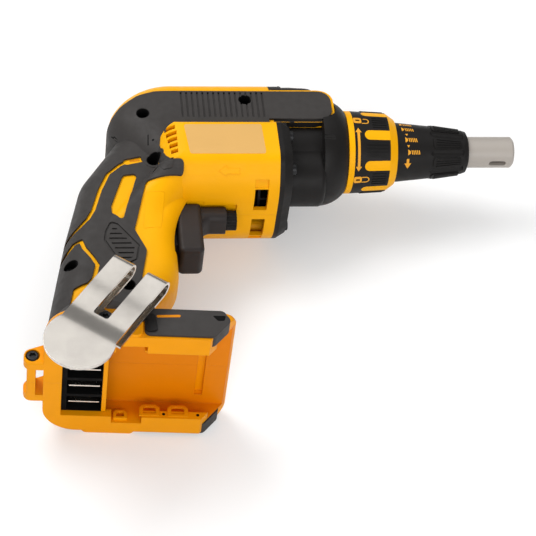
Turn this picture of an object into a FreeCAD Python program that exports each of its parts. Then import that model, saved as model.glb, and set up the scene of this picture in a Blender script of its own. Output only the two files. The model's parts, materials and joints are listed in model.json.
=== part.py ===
import FreeCAD, Part
import os
import Sketcher
from functools import lru_cache
from math import atan, cos, pi, radians, sin, sqrt, tan

# A cordless drywall screwdriver lying on its left side, without a battery pack.
# The origin is the centre of the nosepiece mouth. +X runs along the spindle and out of
# the nose, +Y points to the top of the tool, and +Z to its right side, up from the table.

SIZES = {
    # Fits and general sizes
    "wall": 2.6,
    "overrun": 2.0,
    "running_gap": 0.3,
    "shaft_gap": 0.04,
    "seat_gap": 0.1,
    "skin": 1.2,
    # Nosepiece
    "nosepiece_radius": 8.5,
    "nosepiece_wall": 2.2,
    "nosepiece_length": 58,
    "nosepiece_show": 26,
    "nosepiece_lip": 1.2,
    "nosepiece_slot_length": 9.5,
    "nosepiece_slot_width": 3.2,
    "nosepiece_slot_setback": 4.5,
    # Nose sleeve, which carries the depth collar and the nosepiece
    "sleeve_wall": 2.0,
    "sleeve_length": 59.6,
    "sleeve_setback": 1,
    "sleeve_flange_radius": 13.8,
    "sleeve_flange_thickness": 3.5,
    # Depth collar
    "collar_show": 41.1,
    "collar_tuck": 6.5,
    "collar_nose_radius": 10.5,
    "collar_waist_radius": 12.8,
    "collar_root_radius": 16.3,
    "collar_edge": 1.4,
    "collar_grip_length": 20,
    "collar_groove_count": 8,
    "collar_flute_radius": 2.6,
    "collar_groove_depth": 0.8,
    # Lock ring
    "lock_ring_length": 27.5,
    "lock_ring_radius": 21.3,
    "lock_ring_rear_radius": 22.4,
    "lock_ring_mouth_depth": 9,
    "lock_ring_core_radius": 20.4,
    "lock_ring_rear_band": 3.2,
    "lock_ring_front_band": 4.6,
    "lock_ring_taper": 3.2,
    "finger_count": 8,
    "finger_length": 13.9,
    "finger_width": 5.6,
    # Gear case
    "gear_case_length": 40.4,
    "spigot_length": 16,
    "spigot_radius": 14,
    "dome_radius": 29,
    "dome_length": 14,
    "dome_collar_radius": 22.5,
    "flange_thickness": 7,
    "flange_bevel": 2.8,
    "flange_bevel_length": 4.5,
    "upper_half_width": 20.5,
    "upper_round": 12,
    "barrel_radius": 16,
    "barrel_length": 20.5,
    "barrel_round": 3,
    "core_radius": 20.5,
    "chamber_radius": 16.6,
    "pinion_chamber_radius": 8.2,
    "plate_thickness": 5,
    "plate_margin": 4.5,
    "case_screw_reach": 15,
    # Spindle, bit holder and clutch
    "spindle_rear_radius": 4,
    "spindle_front_radius": 5,
    "spindle_stub_radius": 3,
    "spindle_stub_length": 13,
    "clutch_radius": 11,
    "clutch_thickness": 4,
    "clutch_gap": 5.4,
    "dog_height": 2.2,
    "dog_count": 3,
    "dog_width": 4,
    "dog_length": 4,
    "spring_radius": 5.9,
    "spring_wire_radius": 0.4,
    "bush_radius": 8,
    "bush_length": 10,
    "bit_holder_length": 70.6,
    "hex_across_flats": 6.4,
    "hex_depth": 25,
    "magnet_radius": 2.8,
    "magnet_length": 6,
    "bit_ring_wire": 0.5,
    # Gears
    "gear_module": 1,
    "gear_teeth": 28,
    "pinion_teeth": 8,
    "gear_thickness": 7,
    "tooth_backlash": 0.12,
    # Bearings and motor
    "bearing_radius": 8,
    "bearing_width": 5,
    "motor_shaft_radius": 2.5,
    "motor_gap": 3,
    "fan_radius": 21,
    "fan_width": 7,
    "fan_hub_radius": 8,
    "fan_plate": 1.4,
    "fan_blade_count": 13,
    "fan_blade_thickness": 1.2,
    "stator_radius": 22.8,
    "stator_bore_radius": 13,
    "stator_length": 28,
    "stator_setback": 5,
    "stator_slot_count": 6,
    "stator_slot_width": 6,
    "stator_slot_depth": 6,
    "rotor_radius": 12.5,
    "rotor_length": 30,
    "sensor_board_radius": 22,
    "sensor_board_thickness": 1.6,
    "rear_bearing_radius": 6.5,
    "rear_bearing_width": 4,
    "rear_bearing_setback": 6,
    "motor_rib": 3,
    # Head of the housing: spine above, motor pod below
    "head_length": 89.2,
    "spine_top": 34.8,
    "spine_half_width": 25,
    "spine_round": 16.5,
    "spine_rear_round": 36,
    "spine_tail_rise": 6,
    "spine_tail_lean": 15,
    "spine_tail_round": 17,
    "cheek_length": 34,
    "cheek_thickness": 4.2,
    "cheek_low": -1.5,
    "cheek_high": 23,
    "cheek_round": 9,
    "pod_top": -7.5,
    "pod_bottom": -45,
    "pod_half_width": 33,
    "pod_length": 63,
    "pod_side_drop": 33,
    "pod_belly_half_width": 18.5,
    "pod_rear_round": 13,
    "pod_plan_round": 15,
    "pod_edge_round": 3,
    "pod_side_round": 10,
    "pod_belly_round": 24,
    "neck_low": 68,
    "neck_middle": 50,
    "neck_high": 33,
    "neck_rear": 238,
    "neck_front": 190.5,
    "neck_middle_front": 189,
    "neck_high_rear": 200,
    "neck_high_front": 166,
    "neck_middle_half_width": 22.5,
    "neck_high_half_width": 31,
    "neck_round": 14,
    # Louvres at the pod's rear corners, and outlets under its belly
    "louvre_count": 5,
    "louvre_pitch": 4.25,
    "louvre_height": 2.7,
    "louvre_drop": 11.6,
    "louvre_front": 188.6,
    "louvre_step": 0.6,
    "louvre_length": 5.3,
    "louvre_depth": 9,
    "outlet_front": 140.8,
    "outlet_length": 7,
    "outlet_inner": 3.6,
    "outlet_outer": 18,
    "outlet_recess_depth": 0.8,
    "outlet_recess_width": 4.2,
    "outlet_rim": 0.6,
    # Handle
    "handle_half_width": 18.5,
    "handle_round": 14.5,
    # Foot that takes the battery pack
    "foot_drop": 153,
    "foot_rear": 260,
    "foot_tilt": -3.55,
    "foot_length": 91.5,
    "foot_half_width": 38,
    "foot_height": 18.5,
    "foot_rear_round": 17,
    "foot_front_round": 6,
    "foot_edge_round": 4,
    "foot_nose": 13,
    "foot_nose_rise": 16,
    "flare_height": 18,
    "flare_inset": 3,
    "flare_length": 62,
    "flare_round": 14,
    "bay_rear": 9,
    "bay_half_width": 31,
    "bay_depth": 14,
    "rail_thickness": 4.5,
    "rail_reach": 5,
    "rail_notch_start": 34,
    "rail_notch_length": 15,
    "latch_slot_start": 75,
    "latch_slot_length": 4,
    "latch_slot_depth": 3,
    "latch_slot_half_width": 24,
    # Battery terminals
    "terminal_length": 22,
    "terminal_half_width": 28,
    "terminal_height": 11,
    "terminal_slot_length": 17,
    "terminal_slot_width": 11,
    "terminal_slot_depth": 9,
    "terminal_slot_pitch": 13,
    "blade_thickness": 0.8,
    "blade_height": 8,
    "blade_length": 15,
    # Lanyard lug at the rear of the foot
    "lug_half_width": 16,
    "lug_reach": 9.7,
    "lug_waist_depth": 1.7,
    "lug_height": 8,
    "lug_root_height": 12,
    "lug_waist_half_width": 10,
    "lug_window_reach": 3.7,
    "lug_round": 3.8,
    "lug_edge_round": 2,
    # Trigger
    "trigger_half_width": 10,
    "trigger_front": 176,
    "trigger_rear": 189,
    "trigger_bottom": 78,
    "trigger_top": 45,
    "trigger_round": 3,
    "trigger_travel": 6,
    "trigger_stem_half_width": 5,
    "trigger_stem_height": 14,
    "trigger_stem_drop": 56,
    "arm_half_height": 5,
    "arm_half_width": 7.5,
    "arm_round": 4,
    "arm_drop": 49,
    "arm_length": 13.5,
    "channel_lining": 2.2,
    "selector_radius": 5.2,
    "selector_length": 5.5,
    "selector_pin_radius": 2,
    "selector_pin_length": 5,
    "knurl_count": 20,
    "knurl_radius": 0.45,
    # Switch, control module and lock-on button
    "switch_length": 28,
    "switch_height": 30,
    "switch_half_width": 11,
    "switch_front": 199,
    "switch_drop": 48,
    "handle_rib": 2.2,
    "module_length": 22,
    "module_height": 22,
    "module_half_width": 11,
    "module_rear": 245,
    "module_drop": 122,
    "lock_button_radius": 4,
    "lock_button_show": 2.4,
    "lock_button_flange": 1.5,
    "lock_button_x": 214,
    "lock_button_drop": 56,
    # Housing screws
    "screw_radius": 1.6,
    "screw_head_radius": 3,
    "screw_head_height": 2.4,
    "screw_length": 16,
    "screw_socket_radius": 1.3,
    "screw_socket_depth": 1.2,
    "screw_head_round": 0.7,
    "boss_radius": 4.6,
    "screw_hole_radius": 3.5,
    "screw_seat": 9,
    # Belt clip
    "clip_thickness": 1.3,
    "clip_half_width": 15,
    "clip_gap": 6.5,
    "clip_length": 72,
    "clip_leg_length": 43,
    "clip_slot_half_width": 4,
    "clip_slot_end": 38,
    "clip_end_radius": 17,
    "clip_angle": 234.1,
    "clip_fold_x": 212,
    "clip_fold_drop": 120.3,
    "clip_boss_height": 2,
    "clip_boss_rear": 9,
    "clip_boss_front": 18,
    "clip_boss_half_width": 7.6,
    "clip_screw_along": 33,
    "clip_screw_radius": 2,
    "clip_screw_head_radius": 3.8,
    "clip_screw_head_height": 2,
    "clip_screw_length": 9.5,
    "clip_boss_round": 3,
    # Side panels of the foot
    "panel_rear": 47,
    "panel_setback": 3,
    "panel_low": 1.2,
    "panel_high": 17.1,
    # Lines and grooves in the grip
    "stripe_width": 2.2,
    "stripe_tab_width": 4.2,
    "band_groove_count": 16,
    "band_groove_pitch": 2.9,
    "band_groove_width": 0.9,
    "band_groove_front": 139.5,
    "band_groove_low": 1.2,
    "band_groove_high": 19.4,
    "groove_depth": 0.7,
    "pad_groove_count": 8,
    "pad_groove_pitch": 3.2,
    "pad_groove_width": 0.9,
    "pad_rim": 1.7,
}

doc = FreeCAD.newDocument("drywall_screwdriver")
sheet = doc.addObject("Spreadsheet::Sheet", "sizes")
for row, (name, number) in enumerate(SIZES.items(), start=1):
    sheet.set(f"A{row}", name)
    sheet.set(f"B{row}", str(number))
    sheet.setAlias(f"B{row}", name)
doc.recompute()


class Size:
    """A length of the sheet, or a sum of such lengths, with the expression that gives it."""

    def __init__(self, value, text):
        self.value = value
        self.text = text

    def __float__(self):
        return self.value

    def __neg__(self):
        return Size(-self.value, f"-({self.text})")

    def __add__(self, other):
        other = as_size(other)
        return Size(self.value + other.value, f"({self.text} + {other.text})")

    def __sub__(self, other):
        other = as_size(other)
        return Size(self.value - other.value, f"({self.text} - {other.text})")

    def __mul__(self, factor):
        factor = as_size(factor)
        return Size(self.value * factor.value, f"({self.text} * {factor.text})")

    def __truediv__(self, factor):
        factor = as_size(factor)
        return Size(self.value / factor.value, f"({self.text} / {factor.text})")


def as_size(number):
    return number if isinstance(number, Size) else Size(float(number), repr(float(number)))


class Sheet:
    """Reads sizes out of the sheet by their alias."""

    def __getattr__(self, alias):
        return Size(float(sheet.get(alias)), f"sizes.{alias}")


dim = Sheet()
ZERO = as_size(0)
X_AXIS = FreeCAD.Vector(1, 0, 0)
Y_AXIS = FreeCAD.Vector(0, 1, 0)
Z_AXIS = FreeCAD.Vector(0, 0, 1)
NODES = []
# Closeness for picking edges, and a reach past the whole tool for cutting shapes
FLAT = 1e-4
BIG = float(dim.foot_rear + dim.foot_drop + dim.foot_length)

# Places along the spindle axis
collar_front = -dim.nosepiece_show
lock_ring_front = collar_front - dim.collar_show
case_front = lock_ring_front - dim.lock_ring_length
housing_front = case_front - dim.gear_case_length
head_rear = housing_front - dim.head_length
motor_drop = dim.gear_module * (dim.gear_teeth + dim.pinion_teeth) / 2
motor_y = -motor_drop


def bind(thing, prop, size):
    thing.setExpression(prop, as_size(size).text)


def put(thing, at, rotation=FreeCAD.Rotation()):
    thing.Placement = FreeCAD.Placement(FreeCAD.Vector(*[float(v) for v in at]), rotation)
    for letter, value in zip("xyz", at):
        bind(thing, f"Placement.Base.{letter}", value)
    return thing


def rod(name, radius, length, at, axis=X_AXIS):
    thing = doc.addObject("Part::Cylinder", name)
    bind(thing, "Radius", radius)
    bind(thing, "Height", length)
    return put(thing, at, FreeCAD.Rotation(Z_AXIS, axis))


def brick(name, size, at):
    thing = doc.addObject("Part::Box", name)
    for prop, value in zip(("Length", "Width", "Height"), size):
        bind(thing, prop, value)
    return put(thing, at)


def join(name, things):
    thing = doc.addObject("Part::MultiFuse", name)
    thing.Shapes = things
    return thing


def cut(name, base, tools):
    thing = doc.addObject("Part::Cut", name)
    thing.Base = base
    thing.Tool = tools[0] if len(tools) == 1 else join(f"{name}_tools", tools)
    return thing


def solid(name, shape):
    thing = doc.addObject("Part::Feature", name)
    thing.Shape = shape
    return thing


def node(label, thing):
    thing.Label = label
    NODES.append(thing)
    return thing


def turned(name, corners, at):
    """A body turned about X: corners are (along, radius) pairs from its rear face."""
    body = doc.addObject("PartDesign::Body", name)
    plane = next(item for item in body.Origin.OriginFeatures if item.Role == "XY_Plane")
    sketch = body.newObject("Sketcher::SketchObject", f"{name}_profile")
    sketch.AttachmentSupport = (plane, [""])
    sketch.MapMode = "FlatFace"
    points = [FreeCAD.Vector(float(along), float(radius), 0) for along, radius in corners]
    count = len(points)
    for index, point in enumerate(points):
        sketch.addGeometry(Part.LineSegment(point, points[(index + 1) % count]))
    for index in range(count):
        sketch.addConstraint(Sketcher.Constraint("Coincident", index, 2, (index + 1) % count, 1))
    for index, corner in enumerate(corners):
        for kind, axis, size in zip(("DistanceX", "DistanceY"), (-2, -1), corner):
            if float(size) == 0:
                sketch.addConstraint(Sketcher.Constraint("PointOnObject", index, 1, axis))
            else:
                place = sketch.addConstraint(
                    Sketcher.Constraint(kind, -1, 1, index, 1, float(size)))
                bind(sketch, f"Constraints[{place}]", size)
    revolution = body.newObject("PartDesign::Revolution", f"{name}_turned")
    revolution.Profile = sketch
    revolution.ReferenceAxis = (sketch, ["H_Axis"])
    revolution.Angle = 360
    return put(body, at)


def ring(name, outer, inner, length, at):
    return turned(name, [(ZERO, inner), (ZERO, outer), (length, outer), (length, inner)], at)


def vec(x, y, z=0.0):
    return FreeCAD.Vector(float(x), float(y), float(z))


def rounded_outline(corners):
    """A closed wire in the XY plane through (x, y, radius) corners."""
    count = len(corners)
    starts, ends, middles = [], [], []
    for index, (x, y, radius) in enumerate(corners):
        here = vec(x, y)
        before = vec(*corners[index - 1][:2]) - here
        after = vec(*corners[(index + 1) % count][:2]) - here
        before.normalize()
        after.normalize()
        half = before.getAngle(after) / 2
        reach = float(radius) / tan(half)
        bisector = before + after
        if float(radius) > 0:
            bisector.normalize()
        starts.append(here + before * reach)
        ends.append(here + after * reach)
        middles.append(here + bisector * (float(radius) / sin(half) - float(radius)))
    edges = []
    for index, (x, y, radius) in enumerate(corners):
        if float(radius) > 0:
            edges.append(Part.Arc(starts[index], middles[index], ends[index]).toShape())
        leave, arrive = ends[index], starts[(index + 1) % count]
        if (arrive - leave).Length > Part.Precision.confusion():
            edges.append(Part.LineSegment(leave, arrive).toShape())
    return Part.Wire(edges)


def prism(wire, low, high):
    face = Part.Face(wire)
    face.translate(vec(0, 0, low))
    return face.extrude(vec(0, 0, float(high) - float(low)))


def block(low, high):
    low, high = vec(*low), vec(*high)
    size = high - low
    return Part.makeBox(size.x, size.y, size.z, low)


def post(radius, length, at, axis=Z_AXIS):
    return Part.makeCylinder(float(radius), float(length), vec(*at), axis)


def through(radius, x, y):
    """A cylinder across the whole tool."""
    return post(radius, BIG + BIG, (x, y, -BIG))


def along(radius, y, z):
    """A cylinder along the whole tool."""
    return post(radius, BIG + BIG, (-BIG, y, z), X_AXIS)


def count_of(size):
    return int(float(size))


def around(shape, count, phase_share=0):
    """Copies of a shape spaced evenly about the spindle axis."""
    copies = [shape.copy() for _ in range(count)]
    for index, copy in enumerate(copies):
        copy.rotate(vec(0, 0), X_AXIS, 360 / count * (index + phase_share))
    return copies


def both_sides(shape_at, level, end=BIG):
    """The same cut from Z = level out to Z = end on the right, and mirrored on the left."""
    return [shape_at(level, end), shape_at(-end, -level)]


def rim_edges(shape, level, wanted):
    """Edges of a flat face at Z = level whose middles satisfy wanted."""
    found = []
    for edge in shape.Edges:
        box = edge.BoundBox
        flat = abs(box.ZMin - level) < FLAT and abs(box.ZMax - level) < FLAT
        if flat and wanted(edge.CenterOfMass):
            found.append(edge)
    return found


# Nose: nosepiece, sleeve, depth collar and lock ring
def nosepiece():
    bore = dim.nosepiece_radius - dim.nosepiece_wall
    length = dim.nosepiece_length
    tube = turned("nosepiece_tube", [
        (ZERO, bore), (ZERO, dim.nosepiece_radius),
        (length - dim.nosepiece_lip, dim.nosepiece_radius),
        (length, dim.nosepiece_radius - dim.nosepiece_lip), (length, bore)],
        (-length, ZERO, ZERO))
    half = dim.nosepiece_slot_width / 2
    front = -(dim.nosepiece_slot_setback + half)
    rear = -(dim.nosepiece_slot_setback + dim.nosepiece_slot_length - half)
    reach = dim.nosepiece_radius + dim.overrun
    ends = [rod(f"slot_end_{index}", half, reach * 2, (x, -reach, ZERO), Y_AXIS)
            for index, x in enumerate((front, rear))]
    middle = brick("slot_middle", (front - rear, reach * 2, half * 2), (rear, -reach, -half))
    node("nosepiece", cut("nosepiece", tube, ends + [middle]))


sleeve_bore = dim.nosepiece_radius + dim.running_gap
sleeve_radius = sleeve_bore + dim.sleeve_wall
sleeve_rear = case_front + dim.sleeve_setback
sleeve_front = sleeve_rear + dim.sleeve_length


def nose_sleeve():
    flange = dim.spigot_length + dim.running_gap - dim.sleeve_setback
    flange_front = flange + dim.sleeve_flange_thickness
    node("nose_sleeve", turned("nose_sleeve", [
        (ZERO, sleeve_bore), (ZERO, sleeve_radius), (flange, sleeve_radius),
        (flange, dim.sleeve_flange_radius), (flange_front, dim.sleeve_flange_radius),
        (flange_front, sleeve_radius), (dim.sleeve_length, sleeve_radius),
        (dim.sleeve_length, sleeve_bore)], (sleeve_rear, ZERO, ZERO)))


def depth_collar():
    length = dim.collar_show + dim.collar_tuck
    rear = lock_ring_front - dim.collar_tuck
    shoulder = sleeve_front + dim.running_gap - rear
    bore = sleeve_radius + dim.running_gap
    waist = length - dim.collar_grip_length
    edge = dim.collar_edge
    cone = turned("collar_cone", [
        (ZERO, bore), (ZERO, dim.collar_root_radius), (dim.collar_tuck, dim.collar_root_radius),
        (waist, dim.collar_waist_radius + edge), (length - edge * 2, dim.collar_nose_radius + edge),
        (length - edge / 2, dim.collar_nose_radius + edge / 2),
        (length, dim.collar_nose_radius - edge / 2),
        (length, sleeve_bore), (shoulder, sleeve_bore), (shoulder, bore)], (rear, ZERO, ZERO))
    # Flutes between the grip lobes follow the cone's slope.
    rise = float(dim.collar_waist_radius - dim.collar_nose_radius)
    run = float(dim.collar_grip_length - edge * 2)
    slope = FreeCAD.Vector(run, -rise, 0).normalize()
    radius = float(dim.collar_flute_radius)
    start = vec(rear + waist, dim.collar_waist_radius + edge - dim.collar_groove_depth)
    start += vec(0, radius)
    flute = Part.makeCylinder(radius, run, start, slope)
    flute = flute.fuse(Part.makeSphere(radius, start))
    flutes = around(flute, count_of(dim.collar_groove_count))
    tools = solid("collar_flutes", Part.makeCompound(flutes))
    node("depth_collar", cut("depth_collar", cone, [tools]))


FINGER_PHASE_SHARE = 0.4


def lock_ring():
    length = dim.lock_ring_length - dim.running_gap
    rear = lock_ring_front - length
    mouth = dim.collar_root_radius + dim.running_gap
    bore = dim.spigot_radius + dim.running_gap
    step = length - dim.lock_ring_mouth_depth
    band = length - dim.lock_ring_front_band
    core = turned("lock_ring_hub", [
        (ZERO, bore), (ZERO, dim.lock_ring_rear_radius),
        (dim.lock_ring_rear_band, dim.lock_ring_rear_radius),
        (dim.lock_ring_rear_band, dim.lock_ring_core_radius), (band, dim.lock_ring_core_radius),
        (band, dim.lock_ring_radius), (length, dim.lock_ring_radius - dim.lock_ring_taper),
        (length, mouth), (step, mouth), (step, bore)], (rear, ZERO, ZERO))
    pads_rear = rear + dim.lock_ring_rear_band
    run = band - dim.lock_ring_rear_band
    sleeve = turned("lock_ring_pads", [
        (ZERO, dim.lock_ring_core_radius), (ZERO, dim.lock_ring_rear_radius), (run, dim.lock_ring_radius),
        (run, dim.lock_ring_core_radius)], (pads_rear, ZERO, ZERO))
    # Orange fingers reach back from the front band between the black pads.
    half = float(dim.finger_width) / 2
    front = float(rear + band)
    back = front - float(dim.finger_length)
    tall = dim.lock_ring_rear_radius + dim.overrun
    shape = block((back + half, 0, -half), (front, tall, half))
    shape = shape.fuse(post(half, tall, (back + half, 0, 0), Y_AXIS))
    shell = Part.makeCone(float(dim.lock_ring_rear_radius), float(dim.lock_ring_radius), float(run),
                          vec(pads_rear, 0), X_AXIS)
    shell = shell.cut(along(dim.lock_ring_core_radius - dim.seat_gap, 0, 0))
    fingers = around(shape.common(shell), count_of(dim.finger_count), FINGER_PHASE_SHARE)
    tools = solid("lock_ring_fingers", Part.makeCompound(fingers))
    node("lock_ring_core", join("lock_ring_core", [core, tools]))
    node("lock_ring_grip", cut("lock_ring_grip", sleeve, [tools]))


# Spindle, bit holder and clutch
plate_front = housing_front + dim.plate_thickness
gear_rear = plate_front + dim.running_gap
gear_front = gear_rear + dim.gear_thickness
clutch_rear = gear_front + dim.clutch_gap
clutch_front = clutch_rear + dim.clutch_thickness
chamber_front = clutch_front + dim.running_gap * 2
bit_holder_front = case_front + dim.bit_holder_length


def dogs(x, phase_share):
    """Teeth that join the clutch disc and the drive gear when the bit is pushed in."""
    high = dim.clutch_radius - dim.running_gap
    half = dim.dog_width / 2
    tooth = block((x, high - dim.dog_length, -half), (x + dim.dog_height, high, half))
    return around(tooth, count_of(dim.dog_count), phase_share)


DOG_PHASE_SHARE = 0.5


def spindle():
    rear = housing_front + dim.seat_gap
    length = case_front - rear
    shaft = turned("spindle_shaft", [
        (ZERO, ZERO), (ZERO, dim.spindle_rear_radius),
        (clutch_rear - rear, dim.spindle_rear_radius), (clutch_rear - rear, dim.clutch_radius),
        (clutch_front - rear, dim.clutch_radius), (clutch_front - rear, dim.spindle_front_radius),
        (length, dim.spindle_front_radius), (length, dim.spindle_stub_radius),
        (length + dim.spindle_stub_length, dim.spindle_stub_radius),
        (length + dim.spindle_stub_length, ZERO)], (rear, ZERO, ZERO))
    teeth = solid("spindle_dogs", Part.makeCompound(dogs(clutch_rear - dim.dog_height, 0)))
    node("spindle", join("spindle", [shaft, teeth]))


def bit_holder():
    at = (case_front, ZERO, ZERO)
    barrel = rod("bit_holder_barrel", dim.spindle_front_radius, dim.bit_holder_length, at)
    stub = rod("bit_holder_bore", dim.spindle_stub_radius + dim.shaft_gap,
               dim.spindle_stub_length + dim.seat_gap, at)
    depth = dim.hex_depth + dim.magnet_length
    seat = rod("bit_holder_magnet_bore", dim.magnet_radius + dim.shaft_gap, depth,
               (bit_holder_front - depth, ZERO, ZERO))
    corner = float(dim.hex_across_flats) / sqrt(3)
    points = [vec(0, corner * cos(pi / 3 * step), corner * sin(pi / 3 * step)) for step in range(7)]
    socket = Part.Face(Part.makePolygon(points)).extrude(vec(dim.hex_depth, 0))
    socket.translate(vec(bit_holder_front - dim.hex_depth, 0))
    groove = Part.makeTorus(float(dim.spindle_front_radius), float(dim.bit_ring_wire + dim.shaft_gap),
                            vec(bit_holder_front - dim.hex_depth / 2, 0), X_AXIS)
    tools = [stub, seat, solid("bit_socket", socket), solid("bit_ring_groove", groove)]
    node("bit_holder", cut("bit_holder", barrel, tools))
    node("bit_magnet", rod("bit_magnet", dim.magnet_radius, dim.magnet_length,
                           (bit_holder_front - depth, ZERO, ZERO)))
    snap = doc.addObject("Part::Torus", "bit_ring")
    bind(snap, "Radius1", dim.spindle_front_radius)
    bind(snap, "Radius2", dim.bit_ring_wire)
    put(snap, (bit_holder_front - dim.hex_depth / 2, ZERO, ZERO), FreeCAD.Rotation(Z_AXIS, X_AXIS))
    node("bit_ring", snap)


def spring():
    inner = dim.spring_radius - dim.spring_wire_radius
    length = dim.clutch_gap - dim.running_gap * 2
    node("clutch_spring", ring("clutch_spring", dim.spring_radius + dim.spring_wire_radius, inner,
                               length, (gear_front + dim.running_gap, ZERO, ZERO)))


# Gears with involute teeth
PRESSURE = radians(20)
PINION_SHIFT_SHARE = 0.4
GEAR_TIP_SHARE = 0.5
PINION_TIP_SHARE = 1.32
ROOT_SHARE = 1.25
FLANK_POINTS = 6
STUB_SHARE = 0.7
BEARING_RECESS_SHARE = 0.1
BEARING_RING_SHARE = 0.28


def toothed_wheel(teeth, shift_share, tip_share, first_angle):
    """Outline of a spur wheel in the YZ plane, with a tooth at first_angle."""
    module = float(dim.gear_module)
    pitch = module * teeth / 2
    base = pitch * cos(PRESSURE)
    tip = pitch + module * tip_share
    root = pitch - module * (ROOT_SHARE - shift_share)
    thickness = module * (pi / 2 + 2 * shift_share * tan(PRESSURE)) - float(dim.tooth_backlash)

    def flank(radius):
        grip = sqrt(max((radius / base) ** 2 - 1, 0))
        involute = grip - atan(grip)
        return thickness / (2 * pitch) + tan(PRESSURE) - PRESSURE - involute

    low = max(base, root)
    radii = [root] + [low + (tip - low) * step / FLANK_POINTS for step in range(FLANK_POINTS + 1)]
    points = []
    for tooth in range(teeth):
        middle = first_angle + 2 * pi * tooth / teeth
        points += [(radius, middle - flank(max(radius, low))) for radius in radii]
        points += [(radius, middle + flank(max(radius, low))) for radius in reversed(radii)]
    corners = [vec(0, radius * cos(angle), radius * sin(angle)) for radius, angle in points]
    return Part.Face(Part.makePolygon(corners + corners[:1]))


def drive_gear():
    teeth = count_of(dim.gear_teeth)
    # A gap faces the pinion, straight below the spindle.
    face = toothed_wheel(teeth, -PINION_SHIFT_SHARE, GEAR_TIP_SHARE, pi + pi / teeth)
    wheel = face.extrude(vec(dim.gear_thickness, 0))
    wheel.translate(vec(gear_rear, 0))
    bore = along(dim.spindle_rear_radius + dim.shaft_gap, 0, 0)
    wheel = wheel.fuse(dogs(gear_front, DOG_PHASE_SHARE)).cut(bore)
    node("drive_gear", solid("drive_gear", wheel.removeSplitter()))


shaft_front = gear_front + dim.running_gap
pinion_stub = dim.gear_thickness + dim.running_gap * 2
fan_front = housing_front - dim.motor_gap
fan_rear = fan_front - dim.fan_width
stator_front = fan_rear - dim.stator_setback
stator_rear = stator_front - dim.stator_length
rotor_rear = stator_front + (dim.rotor_length - dim.stator_length) / 2 - dim.rotor_length
rear_bearing_front = stator_rear - dim.rear_bearing_setback
shaft_rear = rear_bearing_front - dim.rear_bearing_width


def motor():
    shift = (dim.rotor_length - dim.stator_length) / 2
    length = shaft_front - shaft_rear
    shoulder = length - pinion_stub
    stub = dim.motor_shaft_radius * STUB_SHARE
    node("motor_shaft", turned("motor_shaft", [
        (ZERO, ZERO), (ZERO, dim.motor_shaft_radius), (shoulder, dim.motor_shaft_radius),
        (shoulder, stub), (length, stub), (length, ZERO)], (shaft_rear, motor_y, ZERO)))
    face = toothed_wheel(count_of(dim.pinion_teeth), PINION_SHIFT_SHARE, PINION_TIP_SHARE, 0)
    pinion = face.extrude(vec(pinion_stub - dim.seat_gap, 0))
    pinion = pinion.cut(along(stub + dim.shaft_gap, 0, 0))
    pinion.translate(vec(shaft_front - pinion_stub + dim.seat_gap, motor_y))
    node("motor_pinion", solid("motor_pinion", pinion))
    on_shaft = dim.motor_shaft_radius + dim.shaft_gap
    node("motor_rotor", ring("motor_rotor", dim.rotor_radius, on_shaft, dim.rotor_length,
                             (rotor_rear, motor_y, ZERO)))
    node("motor_front_bearing", bearing("motor_front_bearing", dim.bearing_radius, on_shaft,
                                        dim.bearing_width, (housing_front, motor_y, ZERO)))
    node("motor_rear_bearing", bearing("motor_rear_bearing", dim.rear_bearing_radius, on_shaft,
                                       dim.rear_bearing_width, (shaft_rear, motor_y, ZERO)))
    tube = ring("stator_core", dim.stator_radius, dim.stator_bore_radius, dim.stator_length,
                (stator_rear, motor_y, ZERO))
    half = dim.stator_slot_width / 2
    slot = block((-BIG, dim.stator_bore_radius - dim.overrun, -half),
                 (BIG, dim.stator_bore_radius + dim.stator_slot_depth, half))
    slots = Part.makeCompound(around(slot, count_of(dim.stator_slot_count)))
    slots.translate(vec(0, motor_y))
    node("motor_stator", cut("motor_stator", tube, [solid("stator_slots", slots)]))
    board_rear = stator_rear - dim.sensor_board_thickness - shift - dim.running_gap
    node("sensor_board", ring("sensor_board", dim.sensor_board_radius,
                              dim.motor_shaft_radius + dim.running_gap * 2, dim.sensor_board_thickness,
                              (board_rear, motor_y, ZERO)))
    plate = ring("fan_plate", dim.fan_radius, on_shaft, dim.fan_plate, (fan_rear, motor_y, ZERO))
    hub = ring("fan_hub", dim.fan_hub_radius, on_shaft, dim.fan_width, (fan_rear, motor_y, ZERO))
    half = dim.fan_blade_thickness / 2
    blade = block((fan_rear, dim.fan_hub_radius - dim.seat_gap, -half), (fan_front, dim.fan_radius, half))
    blades = Part.makeCompound(around(blade, count_of(dim.fan_blade_count)))
    blades.translate(vec(0, motor_y))
    node("motor_fan", join("motor_fan", [plate, hub, solid("fan_blades", blades)]))


def bearing(name, outer, inner, width, at):
    """A shielded ball bearing, recessed between its rings on both faces."""
    recess = width * BEARING_RECESS_SHARE
    low = inner + (outer - inner) * BEARING_RING_SHARE
    high = outer - (outer - inner) * BEARING_RING_SHARE
    return turned(name, [
        (ZERO, inner), (ZERO, low), (recess, low), (recess, high), (ZERO, high), (ZERO, outer),
        (width, outer), (width, high), (width - recess, high), (width - recess, low),
        (width, low), (width, inner)], at)


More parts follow.
